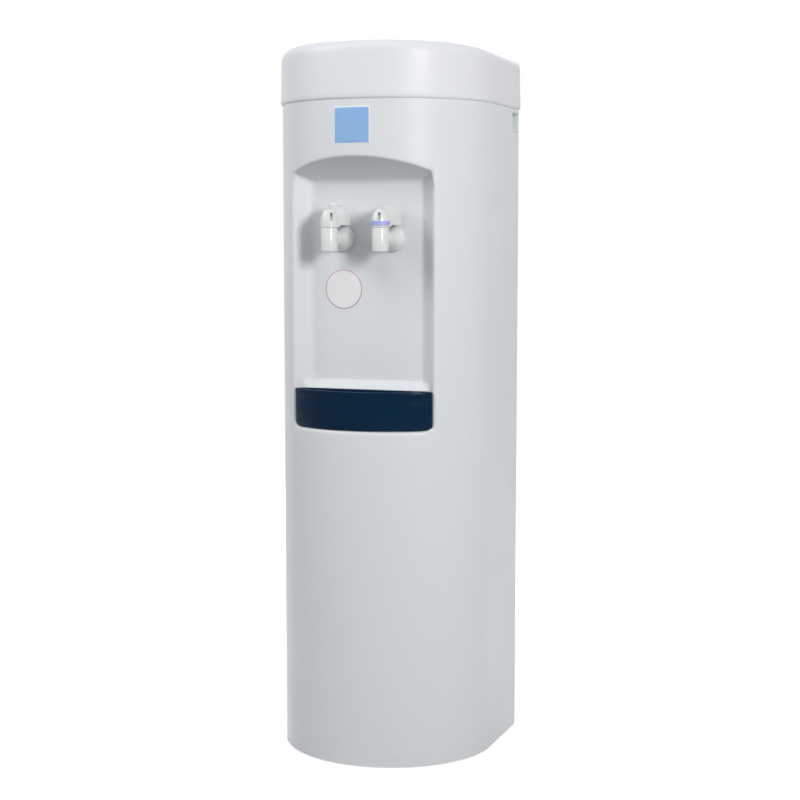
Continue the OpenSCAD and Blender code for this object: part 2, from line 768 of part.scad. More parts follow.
// Sheet-metal frame that carries the tanks
module uprights() {
    color("darkgray") for (s = [-1, 1]) mirror([s < 0 ? 1 : 0, 0, 0]) difference() {
        union() {
            block([post_x - upright_w, post_y - 1.2, pan_top + gap], [post_x, post_y, panel_high - 20]);
            block([post_x - sheet, post_y - upright_d, pan_top + gap], [post_x, post_y, panel_high - 20]);
        }
        for (z = concat(free_screws, rail_screws))
            rod_y(screw_x, post_y - 4, post_y + 1, z, screw_d / 2 + gap);
    }
}

tank_y = plan_y + 40;
hot_y = plan_y + 35;
shelf_front = tank_y - cold_r - insulation_t - evap_d - 2;
shelf_half = post_x - sheet - seat;

module shelf(z, front, hole_y) {
    color("darkgray") difference() {
        union() {
            block([-shelf_half, front, z], [shelf_half, post_y - 1.2 - seat, z + sheet]);
            for (s = [-1, 1])
                translate([s * (shelf_half - sheet / 2) - sheet / 2, post_y - upright_d, z - shelf_flange_h])
                    cube([sheet, upright_d - 1.2 - seat, shelf_flange_h + sheet / 2]);
        }
        for (s = [-1, 1]) translate([s * line_hole_x, line_hole_y, z]) cube([26, 40, 10], center = true);
        rod_z(0, hole_y, z - 1, z + sheet + 1, hose_r + 2);
        rod_z(-tap_x, cold_line_y, z - 1, z + sheet + 1, hose_r + 2);
    }
}
module cold_shelf() shelf(cold_shelf_z, shelf_front, tank_y);
module hot_shelf() shelf(hot_shelf_z, hot_y - hot_r - jacket_t - 6, hot_y);

// Cold tank, its insulation and what is in it
cold_z = cold_shelf_z + sheet + insulation_floor;
cold_top = cold_z + cold_h;
cover_z = cold_top + 1.2;
cover_t = 5;
hose_r = hose_d / 2;
nipple_drop = 12;
nipple_z = cold_z + hose_r + 5.5;
bend_r = hose_r + 0.6;
evap_play = 1.2;
evap_foot = 20;
evap_head = 50;
shell_play = 2;
evap_r = cold_r + evap_d / 2 + evap_play;
evap_low = cold_z + evap_foot;
evap_high = cold_z + cold_h - evap_head;
shell_r = cold_r + evap_d + shell_play;
shell_out_r = shell_r + insulation_t;
cold_line_y = (panel_in_y + shank_len + tank_y - sqrt(shell_out_r * shell_out_r - tap_x * tap_x) - 3) / 2;
// The thermostat's inner corner stands clear of the round insulation
dial_x = thermo_w / 2 + sqrt((shell_out_r + thermo_clear) ^ 2 - (post_y - thermo_depth - tank_y) ^ 2);

module cold_tank() {
    y0 = cold_line_y + 7.5;
    color("silver") difference() {
        union() {
            rod_z(0, tank_y, cold_z, cold_top, cold_r);
            rod_z(0, tank_y, cold_top - 1, cover_z, shell_out_r - 4);
            rod_y(tap_x, y0, tank_y, nipple_z, hose_r);
            rod_z(0, tank_y, cold_shelf_z - nipple_drop, cold_z + 1, hose_r);
        }
        rod_z(0, tank_y, cold_z + tank_wall, cover_z + 1, cold_r - tank_wall);
        rod_y(tap_x, y0 - 1, tank_y, nipple_z, hose_r - 1.5);
        rod_z(0, tank_y, cold_shelf_z - nipple_drop - 1, cold_z + 2, hose_r - 1.5);
    }
}

module cold_insulation() {
    color("ivory") difference() {
        rod_z(0, tank_y, cold_shelf_z + sheet, cold_top - 1 - seat, shell_out_r);
        rod_z(0, tank_y, cold_z - seat, cold_top, shell_r);
        rod_z(0, tank_y, cold_shelf_z, cold_z + 1, hose_r + 1);
        rod_y(tap_x, tank_y - 150, tank_y, nipple_z, hose_r + 1);
        rod_y(evap_r, tank_y - 150, tank_y, evap_low, evap_d / 2 + 1);
        rod_y(evap_r, tank_y, tank_y + 150, evap_high, evap_d / 2 + 1);
    }
}

valve_x = -40;
valve_r = 8;
arm_pivot_x = valve_x + 15;
arm_pivot_z = cover_z - 16;
ball_drop = 38;

module cold_cover() {
    color("white") difference() {
        rod_z(0, tank_y, cover_z, cover_z + cover_t, shell_out_r - 4);
        rod_z(valve_x, tank_y, cover_z - 1, cover_z + cover_t + 1, valve_r + gap);
    }
}

module cold_baffle() {
    z = cold_z + 0.47 * cold_h;
    color("gainsboro") difference() {
        union() {
            rod_z(0, tank_y, z, z + 2, cold_r - tank_wall - gap);
            rod_z(0, tank_y, cold_z + tank_wall + seat, z + 1, 9);
        }
        rod_z(0, tank_y, cold_z, z + 3, 7);
        for (a = [0:60:300])
            rod_z(0.65 * cold_r * cos(a), tank_y + 0.65 * cold_r * sin(a), z - 1, z + 3, 6);
    }
}

module evaporator_coil() {
    n = 24;
    ends = shell_r * 0.75;
    color("peru") tube(concat([[evap_r, tank_y - ends, evap_low]],
        [for (i = [0:n * evap_turns])
            [evap_r * cos(i * 360 / n), tank_y + evap_r * sin(i * 360 / n),
                evap_low + (evap_high - evap_low) * i / n / evap_turns]],
        [[evap_r, tank_y + ends, evap_high]]), evap_d / 2, 6);
}

module float_valve() {
    color("white") difference() {
        union() {
            rod_z(valve_x, tank_y, cover_z - 22, cover_z + 30, valve_r);
            rod_z(valve_x, tank_y, cover_z + cover_t + seat, cover_z + cover_t + 6, valve_r + 5);
            rod_x(valve_x - 17, valve_x, tank_y, cover_z + 20, 4.5);
            for (m = [-1, 1]) block([valve_x, tank_y + m * 5 - 1, arm_pivot_z - 4],
                [arm_pivot_x + 4, tank_y + m * 5 + 1, arm_pivot_z + 4]);
            rod_y(arm_pivot_x, tank_y - 5, tank_y + 5, arm_pivot_z, 1.5);
        }
        rod_x(valve_x - 18, valve_x, tank_y, cover_z + 20, 2);
        rod_z(valve_x, tank_y, cover_z - 23, cover_z + 20, 2);
    }
}

ball_x = arm_pivot_x + arm_reach;
ball_z = arm_pivot_z - ball_drop;
arm_a = atan2(ball_drop, arm_reach);
arm_len = norm([arm_reach, ball_drop]);
module at_arm() {
    translate([arm_pivot_x, tank_y, arm_pivot_z]) rotate([0, 90 + arm_a, 0]) children();
}

module float_arm() {
    color("silver") difference() {
        union() {
            rod_y(arm_pivot_x, tank_y - 3.7, tank_y + 3.7, arm_pivot_z, 3.6);
            at_arm() cylinder(r = 2, h = arm_len - ball_r - 3);
        }
        rod_y(arm_pivot_x, tank_y - 5, tank_y + 5, arm_pivot_z, 1.5 + shaft_play);
    }
}

module float_ball() {
    color("orangered") union() {
        translate([ball_x, tank_y, ball_z]) sphere(r = ball_r);
        at_arm() translate([0, 0, arm_len - ball_r - 3]) cylinder(r = 4, h = 6);
    }
}

// Hot tank with its heater, thermostats and jacket
hot_z = hot_shelf_z + sheet;
hot_top = hot_z + hot_h;
hot_in_z = hot_z + 20;
jacket_in = hot_r + 6;
feed_x = jacket_in + jacket_t + 4;
hot_out_x = -20;
hot_out_y = hot_y - 21;

module hot_tank() {
    color("silver") difference() {
        union() {
            rod_z(0, hot_y, hot_z, hot_top, hot_r);
            rod_z(hot_out_x, hot_out_y, hot_top - 2, hot_top + hot_out_h, hose_r);
            rod_x(0, feed_x, hot_y, hot_in_z, hose_r);
            rod_z(0, hot_y, hot_shelf_z - nipple_drop, hot_z + 1, hose_r);
        }
        rod_z(0, hot_y, hot_z + tank_wall, hot_top - tank_wall, hot_r - tank_wall);
        rod_z(hot_out_x, hot_out_y, hot_top - 3, hot_top + hot_out_h + 1, hose_r - 1.5);
        rod_x(0, feed_x + 1, hot_y, hot_in_z, hose_r - 1.5);
        rod_z(0, hot_y, hot_shelf_z - nipple_drop - 1, hot_z + 2, hose_r - 1.5);
    }
}

module hot_jacket() {
    color("lightgray") difference() {
        ring_z(0, hot_y, hot_z + seat, hot_top - 5, jacket_in, jacket_in + jacket_t);
        rod_x(0, 2 * feed_x, hot_y, hot_in_z, hose_r + 1);
    }
}

band_h = 40;
band_z = hot_z + 0.5 * (hot_h - band_h) - 20;
module heater_band() {
    color("goldenrod") union() {
        ring_z(0, hot_y, band_z, band_z + band_h, hot_r + shaft_play, hot_r + 3);
        block([-8, hot_y - hot_r - 5, band_z + band_h / 4], [8, hot_y - hot_r - 2, band_z + 0.75 * band_h]);
    }
}

module hot_thermostats() {
    color("saddlebrown") for (x = [8, 32])
        rod_z(x, hot_y + 8, hot_top + seat, hot_top + 9, 9);
}

// Compressor on its rubber grommets
comp_x = -10;
comp_y = plan_y + 59;
grommet_h = 12;
comp_z = pan_top + grommet_h;
comp_feet = [comp_r - 4, 0.72 * comp_r];
port_h = 12;
comp_port_z = comp_z + comp_h + port_h;
discharge_port = [comp_x + 0.56 * comp_r, comp_y + 0.56 * comp_r];
suction_port = [comp_x + 0.64 * comp_r, comp_y - 0.24 * comp_r];
service_port = [comp_x - 0.64 * comp_r, comp_y - 0.16 * comp_r];

module compressor() {
    h = comp_h;
    dome = 0.45 * comp_r;
    color([0.1, 0.1, 0.11]) union() {
        translate([comp_x, comp_y, comp_z + 2]) rotate_extrude() polygon(concat(
            [[0, 0], [0.8 * comp_r, 0]],
            arc(0.8 * comp_r, 0.2 * comp_r, 0.2 * comp_r, -90, 0, 1),
            [for (a = [0:15:90]) [comp_r * cos(a), h - dome + dome * sin(a)]]));
        block([comp_x - comp_feet[0] - 11, comp_y - comp_feet[1] - 11, comp_z + seat],
            [comp_x + comp_feet[0] + 11, comp_y + comp_feet[1] + 11, comp_z + 3]);
        for (p = [discharge_port, service_port])
            rod_z(p[0], p[1], comp_z + 0.6 * h, comp_port_z, coil_tube_d / 2);
        rod_z(suction_port[0], suction_port[1], comp_z + 0.6 * h, comp_port_z, evap_d / 2);
    }
}

module grommets() {
    color("dimgray") for (sx = [-1, 1]) for (sy = [-1, 1])
        rod_z(comp_x + sx * comp_feet[0], comp_y + sy * comp_feet[1], pan_top, comp_z, 9);
}

module relay_cover() {
    color("darkslategray") difference() {
        block([comp_x + comp_r - 20, comp_y - 22, comp_z + 35],
            [comp_x + comp_r + 22, comp_y + 22, comp_z + 85]);
        rod_z(comp_x, comp_y, comp_z, comp_z + comp_h, comp_r + seat);
    }
}

drier_y = line_hole_y - 14;
drier_top = condenser_z - 14;
drier_len = 96;
drier_r = 9;
drier_end_r = 3;
drier_low = drier_top - drier_len;
module filter_drier() {
    color("peru") translate([coil_end_x, drier_y, drier_low]) rotate_extrude()
        polygon([[0, 0], [drier_end_r, 0], [drier_end_r, 6], [drier_r, 14], [drier_r, drier_len - 14],
            [drier_end_r, drier_len - 6], [drier_end_r, drier_len], [0, drier_len]]);
}

// Copper lines: discharge, liquid, capillary and suction
discharge_rise = 22;
suction_rise = 40;
line_turn = 16;
suction_out = 12;
tail_drop = 20;
discharge_x = line_hole_x + 1;
capillary_x = line_hole_x + 8;
suction_x = line_hole_x - 7;
capillary_r = 1.5;
module refrigerant_lines() {
    end_y = post_y - 6;
    evap_end = shell_r * 0.75;
    evap_in_y = tank_y - evap_end - line_turn;
    discharge_z = comp_port_z + discharge_rise;
    suction_z = comp_port_z + suction_rise;
    suction_y = line_hole_y + suction_out;
    tail_z = drier_low - tail_drop;
    color("peru") {
        tube(rounded([concat(discharge_port, comp_port_z), concat(discharge_port, discharge_z),
            [discharge_x, line_hole_y, discharge_z], [discharge_x, line_hole_y, run_top],
            [coil_end_x, line_hole_y + line_turn, run_top], [coil_end_x, end_y, run_top]], 6),
            coil_tube_d / 2, 6);
        tube(rounded([[coil_end_x, end_y, condenser_z], [coil_end_x, drier_y, condenser_z],
            [coil_end_x, drier_y, drier_top + seat]], 6), coil_tube_d / 2, 6);
        tube(rounded([[coil_end_x, drier_y, drier_low - seat], [coil_end_x, drier_y, tail_z],
            [capillary_x, drier_y, tail_z], [capillary_x, drier_y, evap_low],
            [capillary_x, evap_in_y, evap_low], [evap_r, evap_in_y, evap_low],
            [evap_r, tank_y - evap_end - seat, evap_low]], 5), capillary_r, 6);
        tube(rounded([[evap_r, tank_y + evap_end + seat, evap_high],
            [evap_r, suction_y, evap_high], [suction_x, suction_y, evap_high],
            [suction_x, suction_y, suction_z], [suction_x, suction_port[1], suction_z],
            concat(suction_port, suction_z), concat(suction_port, comp_port_z)], 8), evap_d / 2, 6);
    }
}

// Hoses: cold outlet, hot outlet, feed to the hot tank, mains supply and drain
supply_r = inlet_pipe_d / 2;
hot_out_h = 18;
hose_rise = 16;
hose_fall = 16;
feed_out = 12;
drain_reach = 14;
module water_lines() {
    shank_end = panel_in_y + shank_len;
    hot_out_z = hot_top + hot_out_h;
    crossing_z = hot_out_z + hose_rise;
    feed_top_z = cold_shelf_z - nipple_drop - hose_fall;
    feed_side_x = feed_x + feed_out;
    drain_low_z = hot_shelf_z - nipple_drop - hose_fall;
    drain_turn_y = post_y - drain_reach - 8;
    color("aliceblue") {
        tube(rounded([[tap_x, cold_line_y + 7.5, nipple_z], [tap_x, cold_line_y, nipple_z],
            [tap_x, cold_line_y, tap_z], [tap_x, shank_end, tap_z]], bend_r), hose_r, 8);
        tube(rounded([[hot_out_x, hot_out_y, hot_out_z], [hot_out_x, hot_out_y, crossing_z],
            [-tap_x, cold_line_y, crossing_z], [-tap_x, cold_line_y, tap_z],
            [-tap_x, shank_end, tap_z]], bend_r), hose_r, 8);
        tube(rounded([[0, tank_y, cold_shelf_z - nipple_drop], [0, tank_y, feed_top_z],
            [feed_side_x, hot_y, feed_top_z], [feed_side_x, hot_y, hot_in_z],
            [feed_x, hot_y, hot_in_z]], bend_r), hose_r, 8);
        tube(rounded([[inlet_x, post_y - 16, inlet_z], [inlet_x, line_hole_y, inlet_z],
            [-line_hole_x, line_hole_y, inlet_z], [-line_hole_x, line_hole_y, cover_z + 20],
            [-line_hole_x, tank_y, cover_z + 20], [valve_x - 17, tank_y, cover_z + 20]], 10), supply_r, 8);
        tube(rounded([[0, hot_y, hot_shelf_z - nipple_drop], [0, hot_y, drain_low_z],
            [drain_x, drain_turn_y, drain_low_z], [drain_x, drain_turn_y, drain_z],
            [drain_x, post_y - drain_reach, drain_z]], bend_r), hose_r, 8);
    }
}

// Condenser: one serpentine tube, wires on both sides of it, and the rails that hold it
module condenser_coil() {
    bends = [for (i = [0:run_count - 2])
        let (s = i % 2 == 0 ? -1 : 1, z = run_top - run_pitch * (i + 0.5))
        each [for (k = [0:6]) [s * (coil_half + run_pitch / 2 * sin(k * 30)), coil_y,
            z + run_pitch / 2 * cos(k * 30)]]];
    turn = 8;
    function leg(z) = [for (k = [0:3])
        [coil_end_x - turn + turn * sin(k * 30), coil_y - turn + turn * cos(k * 30), z]];
    low = leg(condenser_z);
    high = leg(run_top);
    color([0.1, 0.1, 0.1]) tube(concat([[coil_end_x, post_y - 6, run_top]],
        [for (k = [3:-1:0]) high[k]], bends, low, [[coil_end_x, post_y - 6, condenser_z]]),
        coil_tube_d / 2, 8);
}

module condenser_wires() {
    off = coil_tube_d / 2 + seat + wire_d / 2;
    color([0.1, 0.1, 0.1]) for (s = [-1, 1]) for (i = [0:wire_count - 1])
        rod_z((i - (wire_count - 1) / 2) * wire_pitch, coil_y + s * off,
            condenser_z - 12, run_top + 12, wire_d / 2);
}

module condenser_rails() {
    low = condenser_z - 15;
    high = run_top + 15;
    color([0.12, 0.12, 0.12]) for (s = [-1, 1]) mirror([s < 0 ? 1 : 0, 0, 0]) difference() {
        union() {
            block([rail_x, rear_y, low], [rail_x + 14, rear_y + rail_t, high]);
            block([rail_x, rear_y, low], [rail_x + rail_t, coil_y + coil_tube_d / 2, high]);
        }
        for (z = rail_screws) rod_y(screw_x, rear_y - 1, rear_y + 3, z, screw_d / 2 + gap);
    }
}

module inlet_fitting() {
    pipe_r = inlet_pipe_d / 2 + shaft_play;
    color("whitesmoke") difference() {
        union() {
            rod_y(inlet_x, post_y - 16, rear_y + 20, inlet_z, inlet_r);
            translate([inlet_x, rear_in_y, inlet_z]) rotate([-90, 0, 0]) cylinder(r = 11, h = 6, $fn = 6);
            rod_y(inlet_x, rear_y + 13, rear_y + 20, inlet_z, inlet_r + 1.5);
        }
        rod_y(inlet_x, rear_y + 4, rear_y + 21, inlet_z, pipe_r);
        rod_y(inlet_x, post_y - 17, rear_y + 21, inlet_z, pipe_r - 1.2);
    }
}

module drain_fitting() {
    color("whitesmoke") difference() {
        union() {
            rod_y(drain_x, post_y - drain_reach, rear_y + 14, drain_z, drain_r);
            rod_y(drain_x, rear_in_y, rear_in_y + 3, drain_z, drain_r + 5);
        }
        rod_y(drain_x, post_y - drain_reach - 1, rear_y + 15, drain_z, 3.5);
    }
}

module drain_plug() {
    color("dimgray") difference() {
        rod_y(drain_x, rear_in_y + 3 + gap, rear_y + 18, drain_z, drain_r + 2.5);
        rod_y(drain_x, rear_in_y + 2, rear_y + 14 + seat, drain_z, drain_r + seat);
    }
}

// Rocker switch for the hot tank's heater
rocker_tilt = 12;
rocker_y = rear_in_y + 1;
module hot_switch_housing() {
    w = switch_w / 2;
    h = switch_h / 2;
    color([0.08, 0.08, 0.08]) translate([switch_x, 0, control_z]) difference() {
        union() {
            block([-w, post_y - 18, -h], [w, rear_in_y + 1, h]);
            block([-w - 2.5, rear_in_y + eps, -h - 2.5], [w + 2.5, rear_in_y + 2, h + 2.5]);
        }
        block([-w + 2, rocker_y - 9, -h + 1.5], [w - 2, rear_in_y + 3, h - 1.5]);
        rod_x(-w + 0.6, w - 0.6, rocker_y, 0, 1.2 + shaft_play);
    }
}

module hot_switch_rocker() {
    w = switch_w / 2 - 2 - gap;
    color("firebrick") translate([switch_x, rocker_y, control_z]) rotate([rocker_tilt, 0, 0]) union() {
        rotate([90, 0, 90]) translate([0, 0, -w]) linear_extrude(2 * w)
            polygon([[-3, -5], [1.5, -12.2], [5, -12], [2.4, 0], [5, 12], [1.5, 12.2], [-3, 5]]);
        rod_x(-w - 1.5, w + 1.5, 0, 0, 1.2);
    }
}

module cold_thermostat() {
    color("darkslategray") difference() {
        union() {
            block([dial_x - thermo_w / 2, post_y - thermo_depth, control_z - thermo_h / 2],
                [dial_x + thermo_w / 2, post_y - seat, control_z + thermo_h / 2]);
            rod_y(dial_x, post_y - 1, rear_in_y + 6, control_z, dial_shaft_r);
            rod_y(dial_x, rear_in_y + seat, rear_in_y + 4, control_z, dial_shaft_r + 6);
        }
        translate([dial_x, rear_in_y + 6, control_z]) cube([1, 3, 8], center = true);
    }
}

module cord_gland() {
    color([0.08, 0.08, 0.08]) difference() {
        union() {
            rod_y(gland_x, post_y - 8, rear_in_y + 8, gland_z, gland_r);
            rod_y(gland_x, rear_in_y, rear_in_y + 3, gland_z, gland_r + 4);
        }
        rod_y(gland_x, post_y - 9, rear_in_y + 9, gland_z, gland_hole_d / 2);
    }
}

cabinet();
top_lid();
base_pan();
feet();
rear_panel();
rear_panel_screws();
blue_plate();
round_disc();
hand_grips();
drip_tray();
drip_grille();
cold_tap_body();
cold_tap_bonnet();
cold_tap_pin();
cold_tap_lever();
cold_tap_strip();
cold_tap_stem();
cold_tap_seat();
cold_tap_spring();
cold_tap_nut();
hot_tap_body();
hot_tap_bonnet();
hot_tap_pin();
hot_tap_lever();
hot_safety_catch();
hot_tap_stem();
hot_tap_seat();
hot_tap_spring();
hot_tap_nut();
uprights();
cold_shelf();
hot_shelf();
cold_tank();
cold_insulation();
cold_cover();
cold_baffle();
evaporator_coil();
float_valve();
float_arm();
float_ball();
hot_tank();
hot_jacket();
heater_band();
hot_thermostats();
compressor();
grommets();
relay_cover();
filter_drier();
refrigerant_lines();
water_lines();
condenser_coil();
condenser_wires();
condenser_rails();
inlet_fitting();
drain_fitting();
drain_plug();
hot_switch_housing();
hot_switch_rocker();
cold_thermostat();
cord_gland();
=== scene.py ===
import bpy
import bmesh
import json
import math
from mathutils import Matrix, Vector


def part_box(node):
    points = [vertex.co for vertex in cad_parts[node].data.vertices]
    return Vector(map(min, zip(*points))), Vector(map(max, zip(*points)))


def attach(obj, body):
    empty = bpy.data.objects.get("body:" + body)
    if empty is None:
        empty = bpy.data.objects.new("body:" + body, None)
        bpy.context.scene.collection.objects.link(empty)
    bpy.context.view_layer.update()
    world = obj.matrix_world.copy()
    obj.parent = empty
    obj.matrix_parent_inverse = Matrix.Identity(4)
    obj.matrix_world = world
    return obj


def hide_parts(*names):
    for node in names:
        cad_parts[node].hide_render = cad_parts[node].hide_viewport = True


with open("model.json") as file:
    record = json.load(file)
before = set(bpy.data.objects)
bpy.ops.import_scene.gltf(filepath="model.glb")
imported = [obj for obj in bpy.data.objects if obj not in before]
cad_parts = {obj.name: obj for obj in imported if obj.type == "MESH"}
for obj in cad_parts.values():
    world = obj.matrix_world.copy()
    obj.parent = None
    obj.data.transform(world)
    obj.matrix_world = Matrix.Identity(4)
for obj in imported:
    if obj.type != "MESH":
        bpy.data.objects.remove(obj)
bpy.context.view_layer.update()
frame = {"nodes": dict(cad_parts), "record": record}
nodes = frame["nodes"]
mm = 0.001
print("stage: frame loaded")


# Working habits: selecting, applying and finishing a piece
def objectMode():
    if bpy.context.object and bpy.context.object.mode != "OBJECT":
        bpy.ops.object.mode_set(mode="OBJECT")


def clearSelection():
    objectMode()
    bpy.ops.object.select_all(action="DESELECT")


def pick(piece):
    clearSelection()
    piece.select_set(True)
    bpy.context.view_layer.objects.active = piece


def applyPlace(piece):
    pick(piece)
    bpy.ops.object.transform_apply(location=True, rotation=True, scale=True)


def editWhole(piece):
    pick(piece)
    bpy.ops.object.mode_set(mode="EDIT")
    bpy.ops.mesh.select_all(action="SELECT")


def tidyMesh(piece, merge=0.00001):
    editWhole(piece)
    bpy.ops.mesh.remove_doubles(threshold=merge)
    bpy.ops.mesh.normals_make_consistent(inside=False)
    objectMode()


def addModifier(piece, kind, **settings):
    pick(piece)
    modifier = piece.modifiers.new(kind.lower(), kind)
    for key, value in settings.items():
        setattr(modifier, key, value)
    bpy.ops.object.modifier_apply(modifier=modifier.name)


def roundEdges(piece, width, segments=3, angle=30):
    addModifier(piece, "BEVEL", width=width * mm, segments=segments, limit_method="ANGLE",
                angle_limit=math.radians(angle), harden_normals=False, use_clamp_overlap=True)


def smooth(piece, angle=35):
    pick(piece)
    bpy.ops.object.shade_smooth_by_angle(angle=math.radians(angle))


# Flat faces keep a flat shade next to their rounded edges
def evenShade(piece, angle=35):
    smooth(piece, angle)
    addModifier(piece, "WEIGHTED_NORMAL", keep_sharp=True, weight=80)


def join(pieces):
    clearSelection()
    for piece in pieces:
        piece.select_set(True)
    bpy.context.view_layer.objects.active = pieces[0]
    bpy.ops.object.join()
    return bpy.context.object


def cut(piece, tool):
    addModifier(piece, "BOOLEAN", object=tool, operation="DIFFERENCE", solver="EXACT")
    bpy.data.objects.remove(tool)


# A finished piece is named, painted as its slot says unless a material is given, and put on its body
def finish(piece, name, slot, replaced=(), angle=35, even=False, material=None, body="cooler"):
    if even:
        evenShade(piece, angle)
    else:
        smooth(piece, angle)
    piece.name = name
    piece.data.name = name
    piece.data.materials.clear()
    piece.data.materials.append(material or slotFinish[slot])
    if replaced:
        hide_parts(*replaced)
    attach(piece, body)
    return piece


# A lathe-turned piece: a circle is drawn out ring by ring along Z, from (radius, height) pairs
def turnedPiece(profile, steps=48, hollow=False):
    clearSelection()
    radius, height = profile[0]
    bpy.ops.mesh.primitive_circle_add(vertices=steps, radius=radius * mm, location=(0, 0, height * mm),
                                      fill_type="NOTHING" if hollow else "NGON")
    piece = bpy.context.object
    editWhole(piece)
    rings = profile[1:] + profile[:1] if hollow else profile[1:]
    for nextRadius, nextHeight in rings:
        bpy.ops.mesh.extrude_region_move(
            TRANSFORM_OT_translate={"value": (0, 0, (nextHeight - height) * mm)})
        scale = nextRadius / radius
        bpy.ops.transform.resize(value=(scale, scale, 1), center_override=(0, 0, nextHeight * mm))
        radius, height = nextRadius, nextHeight
    objectMode()
    tidyMesh(piece)
    applyPlace(piece)
    return piece


def placed(piece, turn=(0, 0, 0), at=(0, 0, 0)):
    piece.rotation_euler = [math.radians(a) for a in turn]
    piece.location = [v * mm for v in at]
    applyPlace(piece)
    return piece


# The two corners of a CAD node's box, and its middle
def boxOf(node):
    return [[v / mm for v in corner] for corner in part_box(node)]


def middleOf(node):
    return [(a + b) / 2 for a, b in zip(*boxOf(node))]


# Points round an arc, angles in degrees, and a corner rounded between two points
def arcPoints(x, y, radius, angles):
    return [(x + radius * math.cos(math.radians(a)), y + radius * math.sin(math.radians(a))) for a in angles]


def roundedCorner(start, corner, end, shares):
    return [start * (1 - t) ** 2 + corner * 2 * t * (1 - t) + end * t * t for t in shares]


def boxPiece(low, high, ease=0, segments=2):
    clearSelection()
    centre = [(a + b) / 2 * mm for a, b in zip(low, high)]
    bpy.ops.mesh.primitive_cube_add(size=1, location=centre)
    piece = bpy.context.object
    piece.scale = [(b - a) * mm for a, b in zip(low, high)]
    applyPlace(piece)
    if ease:
        roundEdges(piece, ease, segments)
    return piece


# A flat outline drawn in the YZ or XY plane and pulled into a solid
def pulledOutline(points, length, plane="YZ"):
    clearSelection()
    bpy.ops.mesh.primitive_circle_add(vertices=len(points), radius=1, fill_type="NGON")
    piece = bpy.context.object
    for vertex, (a, b) in zip(piece.data.vertices, points):
        vertex.co = (-length / 2 * mm, a * mm, b * mm) if plane == "YZ" else (a * mm, b * mm, 0)
    editWhole(piece)
    step = (length * mm, 0, 0) if plane == "YZ" else (0, 0, length * mm)
    bpy.ops.mesh.extrude_region_move(TRANSFORM_OT_translate={"value": step})
    objectMode()
    tidyMesh(piece)
    return piece


# A copy of a CAD node with its doubles merged and its edges eased
def easedCopy(node, width, segments=2):
    source = nodes[node]
    piece = source.copy()
    piece.data = source.data.copy()
    for key in list(piece.keys()):
        del piece[key]
    bpy.context.scene.collection.objects.link(piece)
    piece.parent = None
    editWhole(piece)
    bpy.ops.mesh.remove_doubles(threshold=0.00002)
    bpy.ops.mesh.dissolve_limited(angle_limit=math.radians(1))
    objectMode()
    if width:
        roundEdges(piece, width, segments)
    return piece


def newNode(tree, kind, values=None):
    node = tree.nodes.new("ShaderNode" + kind)
    for key, value in (values or {}).items():
        node.inputs[key].default_value = value
    return node


# Finishes
grainForm = {"coatRough": 0.12, "cloudFrom": 0.3, "cloudTo": 0.7, "wearSize": 6, "wearFrom": 0.62,
             "wearTo": 0.72, "rubSize": 3.3, "glossiest": 0.02}


def linearColour(red, green, blue):
    values = [c / 255 for c in (red, green, blue)]
    return [c / 12.92 if c <= 0.04045 else ((c + 0.055) / 1.055) ** 2.4 for c in values] + [1]


